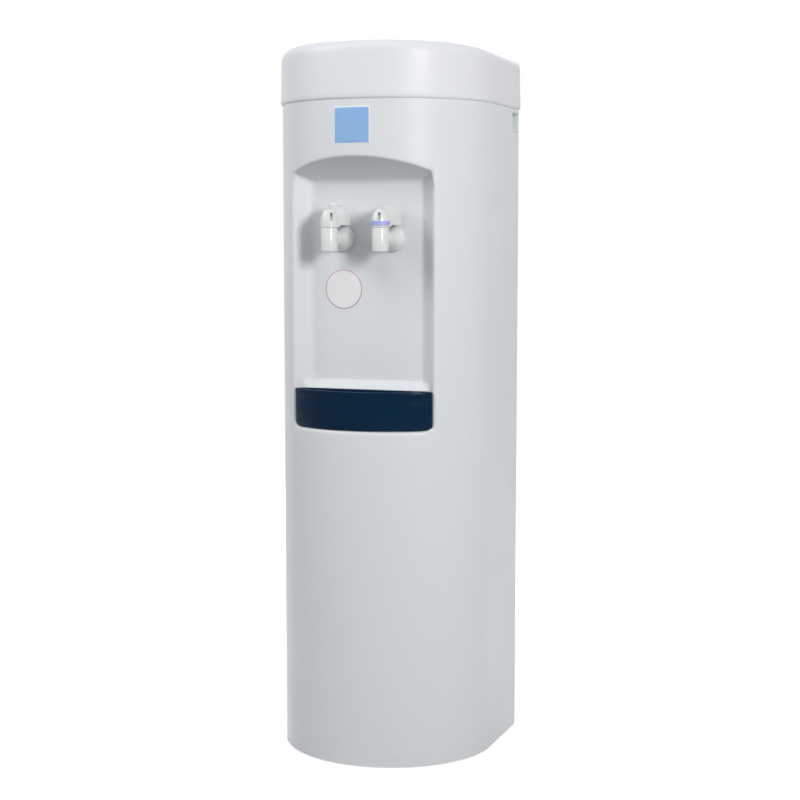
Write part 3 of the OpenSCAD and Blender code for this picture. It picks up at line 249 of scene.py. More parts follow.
# One finish: tint drifts over the piece, worn spots have a tint of their own, and roughness varies.
# Cells and grains are layers of relief, each as (scale, depth, strength).
def surfaceFinish(name, colour, gloss, drift, driftSize, wear=None, metal=0.0, roughSpread=0.06, cells=(),
                  grains=(), coat=0.0, specular=0.5, stretch=(1, 1, 1)):
    material = bpy.data.materials.new(name)
    material.use_nodes = True
    tree = material.node_tree
    shader = tree.nodes["Principled BSDF"]
    shader.inputs["Metallic"].default_value = metal
    shader.inputs["Coat Weight"].default_value = coat
    shader.inputs["Coat Roughness"].default_value = grainForm["coatRough"]
    shader.inputs["Specular IOR Level"].default_value = specular
    place = newNode(tree, "TexCoord")
    mapping = newNode(tree, "Mapping", {"Scale": stretch})
    tree.links.new(place.outputs["Object"], mapping.inputs["Vector"])

    def pattern(kind, values, output):
        node = newNode(tree, kind, values)
        tree.links.new(mapping.outputs["Vector"], node.inputs["Vector"])
        return node.outputs[output]

    def noise(scale, detail, rough=0.5):
        return pattern("TexNoise", {"Scale": scale, "Detail": detail, "Roughness": rough}, "Fac")

    def ranged(value, values):
        node = newNode(tree, "MapRange", values)
        tree.links.new(value, node.inputs["Value"])
        return node.outputs["Result"]

    base = linearColour(*colour)
    light = [min(1, c * (1 + drift)) for c in base[:3]] + [1]
    dark = [c * (1 - drift) for c in base[:3]] + [1]
    ramp = newNode(tree, "ValToRGB")
    for stop, place, tone in zip(ramp.color_ramp.elements, ("cloudFrom", "cloudTo"), (dark, light)):
        stop.position = grainForm[place]
        stop.color = tone
    tree.links.new(noise(driftSize, 4), ramp.inputs["Fac"])
    tint = ramp.outputs["Color"]
    if wear:
        wearTint, wearAmount = wear
        specks = noise(driftSize * grainForm["wearSize"], 6, 0.65)
        mix = newNode(tree, "Mix")
        mix.data_type = "RGBA"
        mix.inputs["B"].default_value = linearColour(*wearTint)
        tree.links.new(ranged(specks, {"From Min": grainForm["wearFrom"], "From Max": grainForm["wearTo"],
                                       "To Max": wearAmount}), mix.inputs["Factor"])
        tree.links.new(tint, mix.inputs["A"])
        tint = mix.outputs["Result"]
    tree.links.new(tint, shader.inputs["Base Color"])
    rub = noise(driftSize * grainForm["rubSize"], 5, 0.6)
    rough = ranged(rub, {"From Min": grainForm["cloudFrom"], "From Max": grainForm["cloudTo"],
                         "To Min": max(grainForm["glossiest"], gloss - roughSpread),
                         "To Max": min(1, gloss + roughSpread)})
    tree.links.new(rough, shader.inputs["Roughness"])
    previous = None
    for index, (scale, depth, strength) in enumerate((*cells, *grains)):
        cellular = index < len(cells)
        height = pattern("TexVoronoi", {"Scale": scale}, "Distance") if cellular else noise(scale, 2)
        relief = newNode(tree, "Bump", {"Strength": strength, "Distance": depth * mm})
        tree.links.new(height, relief.inputs["Height"])
        if previous:
            tree.links.new(previous, relief.inputs["Normal"])
        previous = relief.outputs["Normal"]
    if previous:
        tree.links.new(previous, shader.inputs["Normal"])
    return material


# The finish of what each material slot is made of, and four finishes for pieces with a tint of their own
slotFinish = {}
slotFinish["cabinet_white"] = surfaceFinish(
    "moulded_shell_white", (226, 229, 232), 0.42, specular=0.35, drift=0.012, driftSize=3,
    wear=((196, 198, 196), 0.10), grains=((900, 0.05, 0.25), (26, 0.35, 0.10)))
slotFinish["lid_white"] = surfaceFinish(
    "lid_white", (230, 232, 236), 0.42, specular=0.35, drift=0.012, driftSize=4,
    wear=((204, 205, 204), 0.08), grains=((900, 0.05, 0.25), (22, 0.4, 0.10)))
slotFinish["tap_white"] = surfaceFinish(
    "tap_white", (226, 229, 228), 0.26, drift=0.012, driftSize=30,
    grains=((1400, 0.03, 0.15), (90, 0.08, 0.10)), coat=0.25)
slotFinish["navy_plastic"] = surfaceFinish(
    "tray_navy", (5, 38, 62), 0.2, drift=0.08, driftSize=14, wear=((24, 54, 78), 0.2), specular=0.05,
    roughSpread=0.04, grains=((1100, 0.03, 0.2), (60, 0.15, 0.12)))
slotFinish["blue_film"] = surfaceFinish(
    "plate_blue", (142, 184, 232), 0.3, drift=0.035, driftSize=16,
    grains=((500, 0.03, 0.15), (45, 0.05, 0.05)))
stripBlue = surfaceFinish(
    "strip_blue", (168, 178, 230), 0.35, drift=0.05, driftSize=60, grains=((900, 0.02, 0.15),))
filmBorder = surfaceFinish(
    "plate_white_border", (240, 243, 246), 0.28, drift=0.01, driftSize=20, grains=((500, 0.03, 0.15),))
slotFinish["disc_film"] = surfaceFinish(
    "disc_pale", (238, 237, 238), 0.4, drift=0.015, driftSize=30, grains=((700, 0.02, 0.15),))
discRing = surfaceFinish(
    "disc_rose_ring", (178, 142, 154), 0.4, drift=0.04, driftSize=60, grains=((700, 0.02, 0.15),))
# Painted light: the grips' colour is lifted to nearly white to offset the shade inside the cups
slotFinish["grip_grey"] = surfaceFinish(
    "grip_grey", (214, 220, 222), 0.45, drift=0.02, driftSize=24, grains=((1200, 0.06, 0.35),))
slotFinish["sheet_steel"] = surfaceFinish(
    "zinc_sheet", (176, 180, 182), 0.45, drift=0.07, driftSize=55, metal=0.6, wear=((146, 148, 148), 0.3),
    roughSpread=0.08, cells=((120, 0.05, 0.25),), grains=((700, 0.03, 0.2),))
slotFinish["tank_steel"] = surfaceFinish(
    "tank_brushed_steel", (188, 190, 192), 0.3, drift=0.06, driftSize=30, metal=0.95, roughSpread=0.08,
    stretch=(1, 1, 14), grains=((240, 0.03, 0.35),))
slotFinish["tap_steel"] = surfaceFinish(
    "bright_steel", (196, 198, 200), 0.22, drift=0.05, driftSize=80, metal=0.95,
    wear=((120, 118, 112), 0.3), roughSpread=0.08, grains=((900, 0.02, 0.25),))
slotFinish["foam"] = surfaceFinish(
    "foam_cream", (232, 222, 196), 0.85, drift=0.06, driftSize=40, wear=((206, 188, 150), 0.6),
    specular=0.2, cells=((420, 0.5, 0.6),), grains=((60, 0.8, 0.3),))
slotFinish["inner_white"] = surfaceFinish(
    "inner_white_plastic", (226, 226, 220), 0.45, drift=0.02, driftSize=30, grains=((800, 0.05, 0.3),))
slotFinish["float_orange"] = surfaceFinish(
    "float_orange", (224, 96, 34), 0.42, drift=0.06, driftSize=60, grains=((700, 0.05, 0.3),))
slotFinish["copper"] = surfaceFinish(
    "copper_tube", (190, 118, 80), 0.3, drift=0.12, driftSize=50, metal=0.95, wear=((110, 70, 52), 0.6),
    roughSpread=0.1, grains=((500, 0.03, 0.3),))
slotFinish["black_metal"] = surfaceFinish(
    "black_paint", (24, 24, 26), 0.32, drift=0.12, driftSize=30, coat=0.2, wear=((66, 64, 62), 0.25),
    roughSpread=0.1, grains=((300, 0.08, 0.35), (1200, 0.03, 0.3)))
slotFinish["rubber_grey"] = surfaceFinish(
    "grey_rubber", (58, 58, 60), 0.75, drift=0.1, driftSize=70, specular=0.3, wear=((92, 90, 86), 0.4),
    grains=((900, 0.08, 0.5),))
slotFinish["black_plastic"] = surfaceFinish(
    "black_plastic", (26, 26, 28), 0.5, drift=0.08, driftSize=60, grains=((1300, 0.06, 0.5),))
slotFinish["heater_mica"] = surfaceFinish(
    "heater_band_brass", (184, 156, 98), 0.38, drift=0.12, driftSize=50, metal=0.8,
    wear=((120, 92, 56), 0.5), grains=((500, 0.05, 0.3),))
slotFinish["phenolic"] = surfaceFinish(
    "phenolic_brown", (92, 56, 36), 0.5, drift=0.1, driftSize=90, grains=((900, 0.05, 0.4),))
slotFinish["hose"] = surfaceFinish(
    "hose_milky", (220, 226, 226), 0.4, drift=0.04, driftSize=40, grains=((400, 0.08, 0.25),))
slotFinish["silicone"] = surfaceFinish(
    "silicone_seal", (214, 216, 210), 0.6, drift=0.03, driftSize=70, grains=((800, 0.05, 0.3),))
slotFinish["red_plastic"] = surfaceFinish(
    "rocker_red", (176, 30, 24), 0.28, drift=0.05, driftSize=80, coat=0.2, grains=((900, 0.03, 0.2),))
markWhite = surfaceFinish(
    "mark_white", (226, 228, 228), 0.45, drift=0.02, driftSize=80, grains=((900, 0.02, 0.2),))
print("stage: finishes mixed")

# Every CAD node gets the finish of what it is made of
slotOf = {row["node"]: row["material_slot"] for row in frame["record"]["subparts"]}
for node, slot in slotOf.items():
    nodeMesh = nodes[node].data
    nodeMesh.materials.clear()
    nodeMesh.materials.append(slotFinish[slot])
print("stage: CAD nodes painted")

# Plan of the cabinet, seen from above
plan = {
    "frontY": -3.009, "frontRadius": 154.991, "sideX": 18.7, "sideY": -14.0,
    "sideRadius": 133.3, "turn": 30.444, "halfWidth": 152.0, "rearY": 129.0, "rearCorner": 18.0,
    "jambX": 118.0, "straightYs": (12, 38, 62, 81, 95.5, 110), "arcSteps": 10, "rearSteps": 6,
}


# An arc of the plan, as (x, y, outward x, outward y)
def planArc(x, y, radius, start, end):
    angles = [start + (end - start) * k / plan["arcSteps"] for k in range(plan["arcSteps"] + 1)]
    return [(x + radius * u, y + radius * v, u, v) for u, v in arcPoints(0, 0, 1, angles)]


# Half of the plan from the middle of the front to the middle of the back
def halfPlan(frontXs):
    points = []
    for x in frontXs:
        y = plan["frontY"] - math.sqrt(plan["frontRadius"] ** 2 - x ** 2)
        points.append((x, y, x / plan["frontRadius"], (y - plan["frontY"]) / plan["frontRadius"]))
    corner = plan["rearCorner"]
    points += planArc(plan["sideX"], plan["sideY"], plan["sideRadius"], -plan["turn"], 0)
    points += [(plan["halfWidth"], y, 1, 0) for y in plan["straightYs"]]
    points += planArc(plan["halfWidth"] - corner, plan["rearY"] - corner, corner, 0, 90)
    steps = plan["rearSteps"]
    return points + [(plan["jambX"] * (1 - k / steps), plan["rearY"], 0, 1) for k in range(steps + 1)]


def wholePlan(half):
    left = [(-x, y, -u, v) for x, y, u, v in reversed(half)]
    return left + half[1:]


# A sheet of rows and columns is laid as a grid, then each vertex is put in its place
def laidSheet(name, columnCount, rowCount, placeOf):
    clearSelection()
    bpy.ops.mesh.primitive_grid_add(x_subdivisions=columnCount - 1, y_subdivisions=rowCount - 1, size=1)
    piece = bpy.context.object
    piece.name = name
    for index, vertex in enumerate(piece.data.vertices):
        vertex.co = placeOf(index % columnCount, index // columnCount)
    return piece


# Cabinet
cabinetForm = {
    "bottom": 2.5, "top": 913.0, "wall": 3.0,
    "flareStart": 83.0, "panelY": -98.0, "bayY": -110.0, "lipBlend": 7.0, "flareBlend": 5.0,
    "floor": 467.7, "sillFoot": 521.0, "sillTop": 532.0, "ceilingFoot": 805.7, "ceilingRise": 0.5317,
    "lowCorner": 14.0, "highCorner": 7.0, "cornerX": 105.0,
    "radii": (7.0, 3.0, 2.0, 4.0, 12.0, 4.5), "recessFrom": -60, "recessHalf": 125, "blendDepth": 9,
    "cutShare": 0.45, "flat": 0.001, "leastDepth": 0.05, "leastBay": 0.02, "leastSill": 0.03,
}


def softMax(a, b, blend):
    return max(a, b) + max(blend - abs(a - b), 0) ** 2 / (4 * blend)


def smoothStep(value):
    value = min(1, max(0, value))
    return value * value * (3 - 2 * value)


def recessDepth(x, y):
    panel = cabinetForm["panelY"] - softMax(abs(x) - cabinetForm["flareStart"], 0, cabinetForm["flareBlend"])
    return softMax(panel - y, 0, cabinetForm["lipBlend"])


straightRows = (14, 3, 3, 2, 22, 5)
arcRows = (8, 4, 3, 4, 10, 8)
upperRows = (848, 856, 866, 879.5, 893, 907.5, 913)
flatBreaks = (2.5, 456, 468, 471, 475, 514, 520, 524, 534, 782, 800, 815, 834)


# Rows of one upright line through the recess, its corners rounded
def recessRows(corners, radii):
    cuts = []
    for before, here, after, radius in zip(corners, corners[1:], corners[2:], radii):
        back, ahead = before - here, after - here
        turn = math.pi - back.angle(ahead)
        most = cabinetForm["cutShare"] * min(back.length, ahead.length)
        cuts.append(min(radius * math.tan(turn / 2), most))
    rows = [corners[0]]
    for index, cutLength in enumerate(cuts):
        here = corners[index + 1]
        start = here + (corners[index] - here).normalized() * cutLength
        end = here + (corners[index + 2] - here).normalized() * cutLength
        last = rows[-1]
        rows += [last.lerp(start, k / straightRows[index]) for k in range(1, straightRows[index] + 1)]
        rows += roundedCorner(start, here, end, [k / arcRows[index] for k in range(1, arcRows[index] + 1)])
    return rows


flatRows = [flatBreaks[0]]
for index in range(6):
    for count, low, high in ((straightRows[index], flatBreaks[2 * index], flatBreaks[2 * index + 1]),
                             (arcRows[index], flatBreaks[2 * index + 1], flatBreaks[2 * index + 2])):
        flatRows += [low + (high - low) * k / count for k in range(1, count + 1)]


def cabinetColumn(x, y, front):
    form = cabinetForm
    depth = recessDepth(x, y) if front else 0
    if depth < form["flat"]:
        return [(y, z) for z in flatRows] + [(y, z) for z in upperRows]
    back = y + max(depth, form["leastDepth"])
    bay = max(min(form["bayY"], back - form["leastBay"]), y + form["leastSill"])
    low, high = form["lowCorner"], form["highCorner"]
    past = min(low, max(0, abs(x) - (form["cornerX"] - low)))
    floor = form["floor"] + low - math.sqrt(low ** 2 - past ** 2)
    past = min(high, max(0, abs(x) - (form["cornerX"] - high)))
    drop = high - math.sqrt(high ** 2 - past ** 2)
    ceiling = form["ceilingFoot"] + (form["panelY"] - back) * form["ceilingRise"] - drop
    edge = form["ceilingFoot"] + (form["panelY"] - y) * form["ceilingRise"] - drop
    corners = [Vector(c) for c in ((y, form["bottom"]), (y, floor), (bay, floor), (bay, form["sillFoot"]),
                                   (back, form["sillTop"]), (back, ceiling), (y, edge), (y, form["top"]))]
    rows = recessRows(corners, form["radii"])
    weight = smoothStep(depth / form["blendDepth"])
    return [(row[0], flat + (row[1] - flat) * weight) for row, flat in zip(rows, flatRows)] + \
        [(y, z) for z in upperRows]


frontXs = [0, 8, 16, 24, 32, 40, 48, 56, 63, 69, 74] + [77 + 1.5 * k for k in range(25)] + [117, 122, 128]
cabinetPlan = wholePlan(halfPlan(frontXs))
columns = [cabinetColumn(x, y, y < cabinetForm["recessFrom"] and abs(x) < cabinetForm["recessHalf"])
           for x, y, u, v in cabinetPlan]
cabinet = laidSheet("cabinet_shell", len(columns), len(columns[0]), lambda column, row: Vector((
    cabinetPlan[column][0], columns[column][row][0], columns[column][row][1])) * mm)
tidyMesh(cabinet)
pick(cabinet)
bpy.ops.object.mode_set(mode="EDIT")
shellMesh = bmesh.from_edit_mesh(cabinet.data)
gripWindow = {"low": 879.5, "high": 907.5, "near": 81.0, "far": 110.0, "side": 151.9}
rearOpening = {"y": 128.9, "top": 893.0}
for face in shellMesh.faces:
    x, y, z = face.calc_center_median() / mm
    inRear = y > rearOpening["y"] and abs(x) < plan["jambX"] and z < rearOpening["top"]
    inGrip = abs(x) > gripWindow["side"] and gripWindow["near"] < y < gripWindow["far"]
    inGrip = inGrip and gripWindow["low"] < z < gripWindow["high"]
    face.select_set(inRear or inGrip)
bmesh.update_edit_mesh(cabinet.data)
bpy.ops.mesh.delete(type="FACE")
bpy.ops.object.mode_set(mode="OBJECT")
addModifier(cabinet, "SOLIDIFY", thickness=cabinetForm["wall"] * mm, offset=-1, use_even_offset=True)
finish(cabinet, "cabinet_shell", "cabinet_white", ["cabinet"], 38)
print("stage: cabinet shell", len(cabinet.data.polygons))

# Lid
lidForm = {
    "edge": 14.5, "edgeTop": 986.5, "top": 990.6, "sideDrop": 4.1, "rearDrop": 1.6, "rearRun": 130.0,
    "wall": 3.0, "lap": 1.4, "centreY": -14.0, "crownSteps": 9, "liftFrom": 930.0, "liftRun": 50.0,
    "lipInset": 3.8, "lipFoot": 909.0, "lipStep": 4.0, "lipWall": 2.0,
}
lidPlan = wholePlan(halfPlan([0] + [9 * k for k in range(1, 15)] + [131]))
lidRings = [(0.6, 913.03), (0, 913.03), (-0.7, 913.15), (-1.5, 913.7), (-2.1, 914.8), (-2.45, 916.3),
            (-2.6, 918), (-2.5, 923), (-2.25, 929), (-2.1, 935), (-1.95, 945), (-1.7, 957), (-1.5, 966)]
lidRings += arcPoints(lidForm["edge"] - lidForm["lap"], lidForm["edgeTop"] - lidForm["edge"], lidForm["edge"],
                      range(180, 89, -9))


# The top falls a little to both sides and to the rear
def lidTop(x, y):
    sideways = lidForm["sideDrop"] * (abs(x) / plan["halfWidth"]) ** 4
    return lidForm["top"] - sideways - lidForm["rearDrop"] * smoothStep(y / lidForm["rearRun"])


def lidPlace(column, row):
    x, y, u, v = lidPlan[column]
    if row < len(lidRings):
        inset, z = lidRings[row]
        x, y = x - u * inset, y - v * inset
        share = smoothStep((z - lidForm["liftFrom"]) / lidForm["liftRun"])
        return Vector((x, y, z + (lidTop(x, y) - lidForm["edgeTop"]) * share)) * mm
    share = 1 - (row - len(lidRings) + 1) / lidForm["crownSteps"]
    inset = lidRings[-1][0]
    edge = Vector((x - u * inset, y - v * inset, 0))
    centre = Vector((0, lidForm["centreY"], 0))
    point = centre + (edge - centre) * max(share, 0.0001)
    return Vector((point.x, point.y, lidTop(point.x, point.y))) * mm


lid = laidSheet("lid", len(lidPlan), len(lidRings) + lidForm["crownSteps"], lidPlace)
tidyMesh(lid, 0.00005)
addModifier(lid, "SOLIDIFY", thickness=lidForm["wall"] * mm, offset=-1, use_even_offset=True)
lipPlan = [(x - u * lidForm["lipInset"], y - v * lidForm["lipInset"]) for x, y, u, v in lidPlan]
dimple = {"y": 48.7, "z": 921.0, "radius": 4.2, "depth": 1.1, "overhang": 2.6}
reach = plan["halfWidth"] + dimple["overhang"] + dimple["radius"] - dimple["depth"]
for side in (-1, 1):
    clearSelection()
    bpy.ops.mesh.primitive_uv_sphere_add(segments=32, ring_count=16, radius=dimple["radius"] * mm,
                                         location=(side * reach * mm, dimple["y"] * mm, dimple["z"] * mm))
    cut(lid, bpy.context.object)
lidLip = laidSheet("lid_lip", len(lipPlan), 3, lambda column, row: Vector((
    *lipPlan[column], lidForm["lipFoot"] + lidForm["lipStep"] * row)) * mm)
tidyMesh(lidLip, 0.00005)
addModifier(lidLip, "SOLIDIFY", thickness=lidForm["lipWall"] * mm, offset=-1)
finish(join([lid, lidLip]), "lid", "lid_white", ["top_lid"], 40, body="lid")
print("stage: lid")

# Drip tray and its grille
trayForm = {
    "frontRadius": 154.49, "frontY": -3.009, "backY": -110.2, "flareSum": -17.12, "halfWidth": 103.5,
    "low": 468.0, "step": 507.1, "top": 520.0, "corner": 14.0, "topCorner": 3.5, "edge": 4.0, "wall": 2.4,
    "plateLow": 511.8, "plateTop": 514.8, "rim": 2.2, "arcSteps": 60, "faceY": -130, "faceRun": 80,
    "faceTop": 600, "sharp": 20, "cornerSteps": 6, "seam": 0.3,
    "slotHalf": 2, "slotFront": -131.5, "slotBack": -112.5, "slots": 19, "slotPitch": 8, "firstSlot": -72,
}


# The tray's plan, drawn in by a distance, its upright edges rounded
def trayPlan(inset):
    form = trayForm
    radius = form["frontRadius"] - inset
    total = form["flareSum"] - inset * math.sqrt(2)
    back = form["backY"] - inset
    half = total - form["frontY"]
    cornerX = (half + math.sqrt(2 * radius * radius - half * half)) / 2
    span = math.degrees(math.asin(cornerX / radius))
    steps = form["arcSteps"]
    arc = arcPoints(0, form["frontY"], radius, [span * (2 * k / steps - 1) - 90 for k in range(steps + 1)])
    backX = total - back
    raw = [Vector(p) for p in arc] + [Vector((abs(backX), back)), Vector((-abs(backX), back))]
    points = []
    for index, here in enumerate(raw):
        before, after = raw[index - 1], raw[(index + 1) % len(raw)]
        turn = math.pi - (before - here).angle(after - here)
        if turn < math.radians(form["sharp"]):
            if all((here - raw[k]).length > form["edge"] for k in (0, steps)):
                points.append(here)
            continue
        reach = form["edge"] * math.tan(turn / 2)
        start = here + (before - here).normalized() * reach
        end = here + (after - here).normalized() * reach
        shares = [k / form["cornerSteps"] for k in range(form["cornerSteps"] + 1)]
        points += roundedCorner(start, here, end, shares)
    return points


def trayFace(inset):
    form = trayForm
    half = form["halfWidth"] - inset
    bend = form["corner"] - inset
    right = arcPoints(half - bend, form["low"] + inset + bend, bend, range(-90, 1, 9))
    if inset:
        right.append((half, form["faceTop"]))
        return right + [(-x, z) for x, z in reversed(right)]
    small = form["topCorner"]
    right += arcPoints(half - small, form["top"] - small, small, range(0, 91, 15))
    return right + [(-x, z) for x, z in reversed(right)]


def trayBlock(inset, low, high):
    block = pulledOutline([tuple(p) for p in trayPlan(inset)], high - low, "XY")
    placed(block, at=(0, 0, low))
    face = pulledOutline(trayFace(inset), trayForm["faceRun"], "YZ")
    placed(face, turn=(0, 0, 90), at=(0, trayForm["faceY"], 0))
    addModifier(block, "BOOLEAN", object=face, operation="INTERSECT", solver="EXACT")
    bpy.data.objects.remove(face)
    return block


tray = trayBlock(0, trayForm["low"], trayForm["step"])
cut(tray, trayBlock(trayForm["rim"] + trayForm["wall"], trayForm["low"] + 2, trayForm["top"]))
roundEdges(tray, 0.35, 3, 32)
upstand = trayBlock(trayForm["rim"] + trayForm["seam"], trayForm["step"] - 6, trayForm["plateLow"] - 0.4)
cut(upstand, trayBlock(trayForm["rim"] + trayForm["wall"], trayForm["low"] + 2, trayForm["top"]))
finish(join([tray, upstand]), "drip_tray_basin", "navy_plastic", ["drip_tray"], 32, body="tray")

grille = trayBlock(0, trayForm["step"] + trayForm["seam"], trayForm["top"])
cut(grille, trayBlock(trayForm["rim"], trayForm["plateTop"], trayForm["top"] + 5))
cut(grille, trayBlock(trayForm["rim"] - 0.2, trayForm["step"] - 5, trayForm["plateLow"]))
slotTool = boxPiece((-trayForm["slotHalf"], trayForm["slotFront"], trayForm["plateLow"] - 2),
                    (trayForm["slotHalf"], trayForm["slotBack"], trayForm["plateTop"] + 3), 1.8, 4)
placed(slotTool, at=(trayForm["firstSlot"], 0, 0))
addModifier(slotTool, "ARRAY", count=trayForm["slots"], use_relative_offset=False, use_constant_offset=True,
            constant_offset_displace=(trayForm["slotPitch"] * mm, 0, 0))
cut(grille, slotTool)
roundEdges(grille, 0.45, 2, 32)
finish(grille, "drip_grille_slotted", "navy_plastic", ["drip_grille"], 32, body="grille")
print("stage: drip tray")


# A sheet on the front side has its outer face forward
def faceForward(piece):
    if piece.data.polygons[0].normal.y > 0:
        piece.data.flip_normals()


# Blue plate with its white border, and the pale disc with its ring
plateForm = {"halfWidth": 24.4, "low": 854.6, "high": 901.4, "border": 1.5, "columns": 24, "rows": 12,
             "lift": 0.6, "thick": 0.5, "borderLift": 0.35, "borderThick": 0.45}


def curvedPlate(name, halfWidth, low, high, lift, thick):
    def plateAt(column, row):
        x = -halfWidth + 2 * halfWidth * column / plateForm["columns"]
        radius = plan["frontRadius"] + lift
        y = plan["frontY"] - math.sqrt(radius ** 2 - x ** 2)
        return Vector((x, y, low + (high - low) * row / plateForm["rows"])) * mm

    piece = laidSheet(name, plateForm["columns"] + 1, plateForm["rows"] + 1, plateAt)
    tidyMesh(piece)
    faceForward(piece)
    addModifier(piece, "SOLIDIFY", thickness=thick * mm, offset=-1)
    roundEdges(piece, 0.15, 2, 50)
    return piece


halfWidth, low, high, rim = [plateForm[key] for key in ("halfWidth", "low", "high", "border")]
border = curvedPlate("plate_border", halfWidth + rim, low - rim, high + rim, plateForm["borderLift"],
                     plateForm["borderThick"])
finish(border, "plate_border", "blue_film", (), 30, material=filmBorder)
plate = curvedPlate("blue_front_plate", halfWidth, low, high, plateForm["lift"], plateForm["thick"])
finish(plate, "blue_front_plate", "blue_film", ["blue_plate"], 30)

discForm = {"x": -36.0, "y": -98.0, "z": 657.5, "radius": 27.0, "ring": 0.9, "steps": 96}
outer = discForm["radius"]
inner = outer - discForm["ring"]
disc = turnedPiece([(inner - 0.2, 0), (inner - 0.05, 0.1), (inner - 0.05, 0.4), (inner - 0.2, 0.5),
                    (8, 0.52)], discForm["steps"])
ring = turnedPiece([(inner, 0), (outer, 0), (outer, 0.42), (outer - 0.1, 0.52), (inner + 0.1, 0.52),
                    (inner, 0.42)], discForm["steps"], hollow=True)
for piece in (disc, ring):
    placed(piece, turn=(90, 0, 0), at=(discForm["x"], discForm["y"], discForm["z"]))
finish(disc, "pale_disc", "disc_film", ["round_disc"], 30)
finish(ring, "pale_disc_ring", "disc_film", (), 30, material=discRing)

# Grips under the lid, their colour lifted near white as painted light against the shade inside the cups
grips = easedCopy("hand_grips", 0.7, 3)
finish(grips, "grip_cups", "grip_grey", ["hand_grips"])
print("stage: plate, disc and grips")

# Taps, each drawn about its spout's axis
tapForm = {"x": 37.0, "y": -147.0, "z": 727.5, "spoutRadius": 11.5, "shoulder": 14.4, "collarRadius": 9.9}
hoodForm = {"radius": 12.0, "backHalf": 15.2, "back": 42.0, "backCorner": 5.0, "foot": 14.9, "backFoot": 18.0,
            "wall": 1.8, "crown": 45.6, "spineFront": -1.0, "spineBack": 31.0, "peakY": 18,
            "frontFall": 0.014, "backFall": 0.003, "footFrom": 4.5, "footRun": 6, "widenFrom": 2,
            "widenRun": 18, "boxFrom": 4, "boxRun": 20}
leverPivot = {"y": 6.5, "z": 25.0, "press": 22, "pin": 1.56, "eye": 3.5, "clearance": 0.7}
slotForm = {"half": 1.6, "low": 23.6, "high": 34.0, "depth": 3.6, "border": 1.0}
barrelProfile = [(10.6, 9), (11.0, 16), (11.7, 24), (12.9, 31), (14.6, 37), (16.8, 41.2), (17.8, 43.2),
                 (18.2, 44.6), (18.1, 46.6), (17.3, 48.0)]

# How far inward and up each row of the hood goes, as shares: a dome in front, a box with a round edge behind
domeRise = [(0, 0), (0, 0.18), (0.01, 0.36), (0.05, 0.46), (0.10, 0.56), (0.16, 0.66), (0.24, 0.76),
            (0.33, 0.84), (0.43, 0.90), (0.55, 0.945), (0.68, 0.975), (0.83, 0.993), (1, 1)]
boxRise = [(0, 0.15 * k) for k in range(5)] + [(0, 0.72)]
boxRise += [(0.36 * (1 + x), 0.72 + 0.265 * y) for x, y in arcPoints(0, 0, 1, range(162, 89, -18))]
boxRise += [(0.66, 0.996), (1, 1)]


def atTap(piece, side):
    return placed(piece, at=(side * tapForm["x"], tapForm["y"], tapForm["z"]))


def tapBody(side, name):
    outer, neck, shoulder = tapForm["spoutRadius"], tapForm["collarRadius"], tapForm["shoulder"]
    spout = turnedPiece([(8.6, -17.5), (outer - 0.5, -17.5), (outer - 0.1, -17.1), (outer, -16.4),
                         (outer, shoulder - 0.8), (outer - 0.3, shoulder - 0.1), (neck, shoulder),
                         (neck, 16.4), (8.8, 16.4), (8.8, -6), (8.6, -7)], 64, hollow=True)
    barrel = turnedPiece([(8.9, 6)] + barrelProfile + [(16.4, 48.6), (9, 48.8), (9, 60)], 72)
    shadowGap = turnedPiece([(16.2, 48.2), (16.2, 49.1), (9, 49.1)], 64)
    shank = turnedPiece([(9, 46), (9, 70.6), (8.6, 71), (5, 71)], 40)
    for piece in (barrel, shadowGap, shank):
        placed(piece, turn=(-90, 0, 0))
    nozzle = turnedPiece([(6.2, -16.2), (8.0, -16.2), (8.8, -15.4), (8.8, 14), (6.2, 14)], 48, hollow=True)
    pieces = [spout, barrel, shadowGap, shank, nozzle]
    return finish(atTap(join(pieces), side), name, "tap_white", [name.replace("_spout", "_body")], 40)


def tapBonnet(side, name):
    outer = tapForm["collarRadius"]
    collar = turnedPiece([(2.2, 16.5), (outer - 0.3, 16.5), (outer, 16.9), (outer, 19.6), (outer - 0.5, 20.3),
                          (outer - 1.3, 20.5), (2.2, 20.5)], 64, hollow=True)
    # The ring-shaped pocket leaves room for the spring when the stem rises
    plug = turnedPiece([(2.2, 9.2), (4, 9.2), (4, 12.2), (6, 12.2), (6, 9.2), (8.3, 9.2), (8.6, 9.6),
                        (8.6, 16.8), (2.2, 16.8)], 48, hollow=True)
    pinY, pinZ, eye = leverPivot["y"], leverPivot["z"], leverPivot["eye"]
    outline = [(pinY - eye, 17.5), (pinY + eye, 17.5)] + arcPoints(pinY, pinZ, eye, range(0, 181, 20))
    ears = []
    for ear in (-1, 1):
        prong = pulledOutline(outline, 2)
        pin = turnedPiece([(leverPivot["pin"], -6), (leverPivot["pin"], 6)], 24)
        placed(pin, turn=(0, 90, 0), at=(0, pinY, pinZ))
        cut(prong, pin)
        roundEdges(prong, 0.3, 2)
        ears.append(placed(prong, at=(ear * 6, 0, 0)))
    pieces = [collar, plug] + ears
    return finish(atTap(join(pieces), side), name, "tap_white", [name.replace("_collar", "_bonnet")], 40)


# The hood's rim: a skirt round the front of the collar, then a higher underside above the barrel
def hoodFoot(y):
    share = smoothStep((y - hoodForm["footFrom"]) / hoodForm["footRun"])
    return hoodForm["foot"] + share * (hoodForm["backFoot"] - hoodForm["foot"])


def hoodCrown(y):
    fall = hoodForm["frontFall"] if y < hoodForm["peakY"] else hoodForm["backFall"]
    return hoodForm["crown"] - fall * (y - hoodForm["peakY"]) ** 2


# The hood is round in front, then widens towards a squarer back
def hoodHalf(y):
    share = smoothStep((y - hoodForm["widenFrom"]) / hoodForm["widenRun"])
    return hoodForm["radius"] + (hoodForm["backHalf"] - hoodForm["radius"]) * share


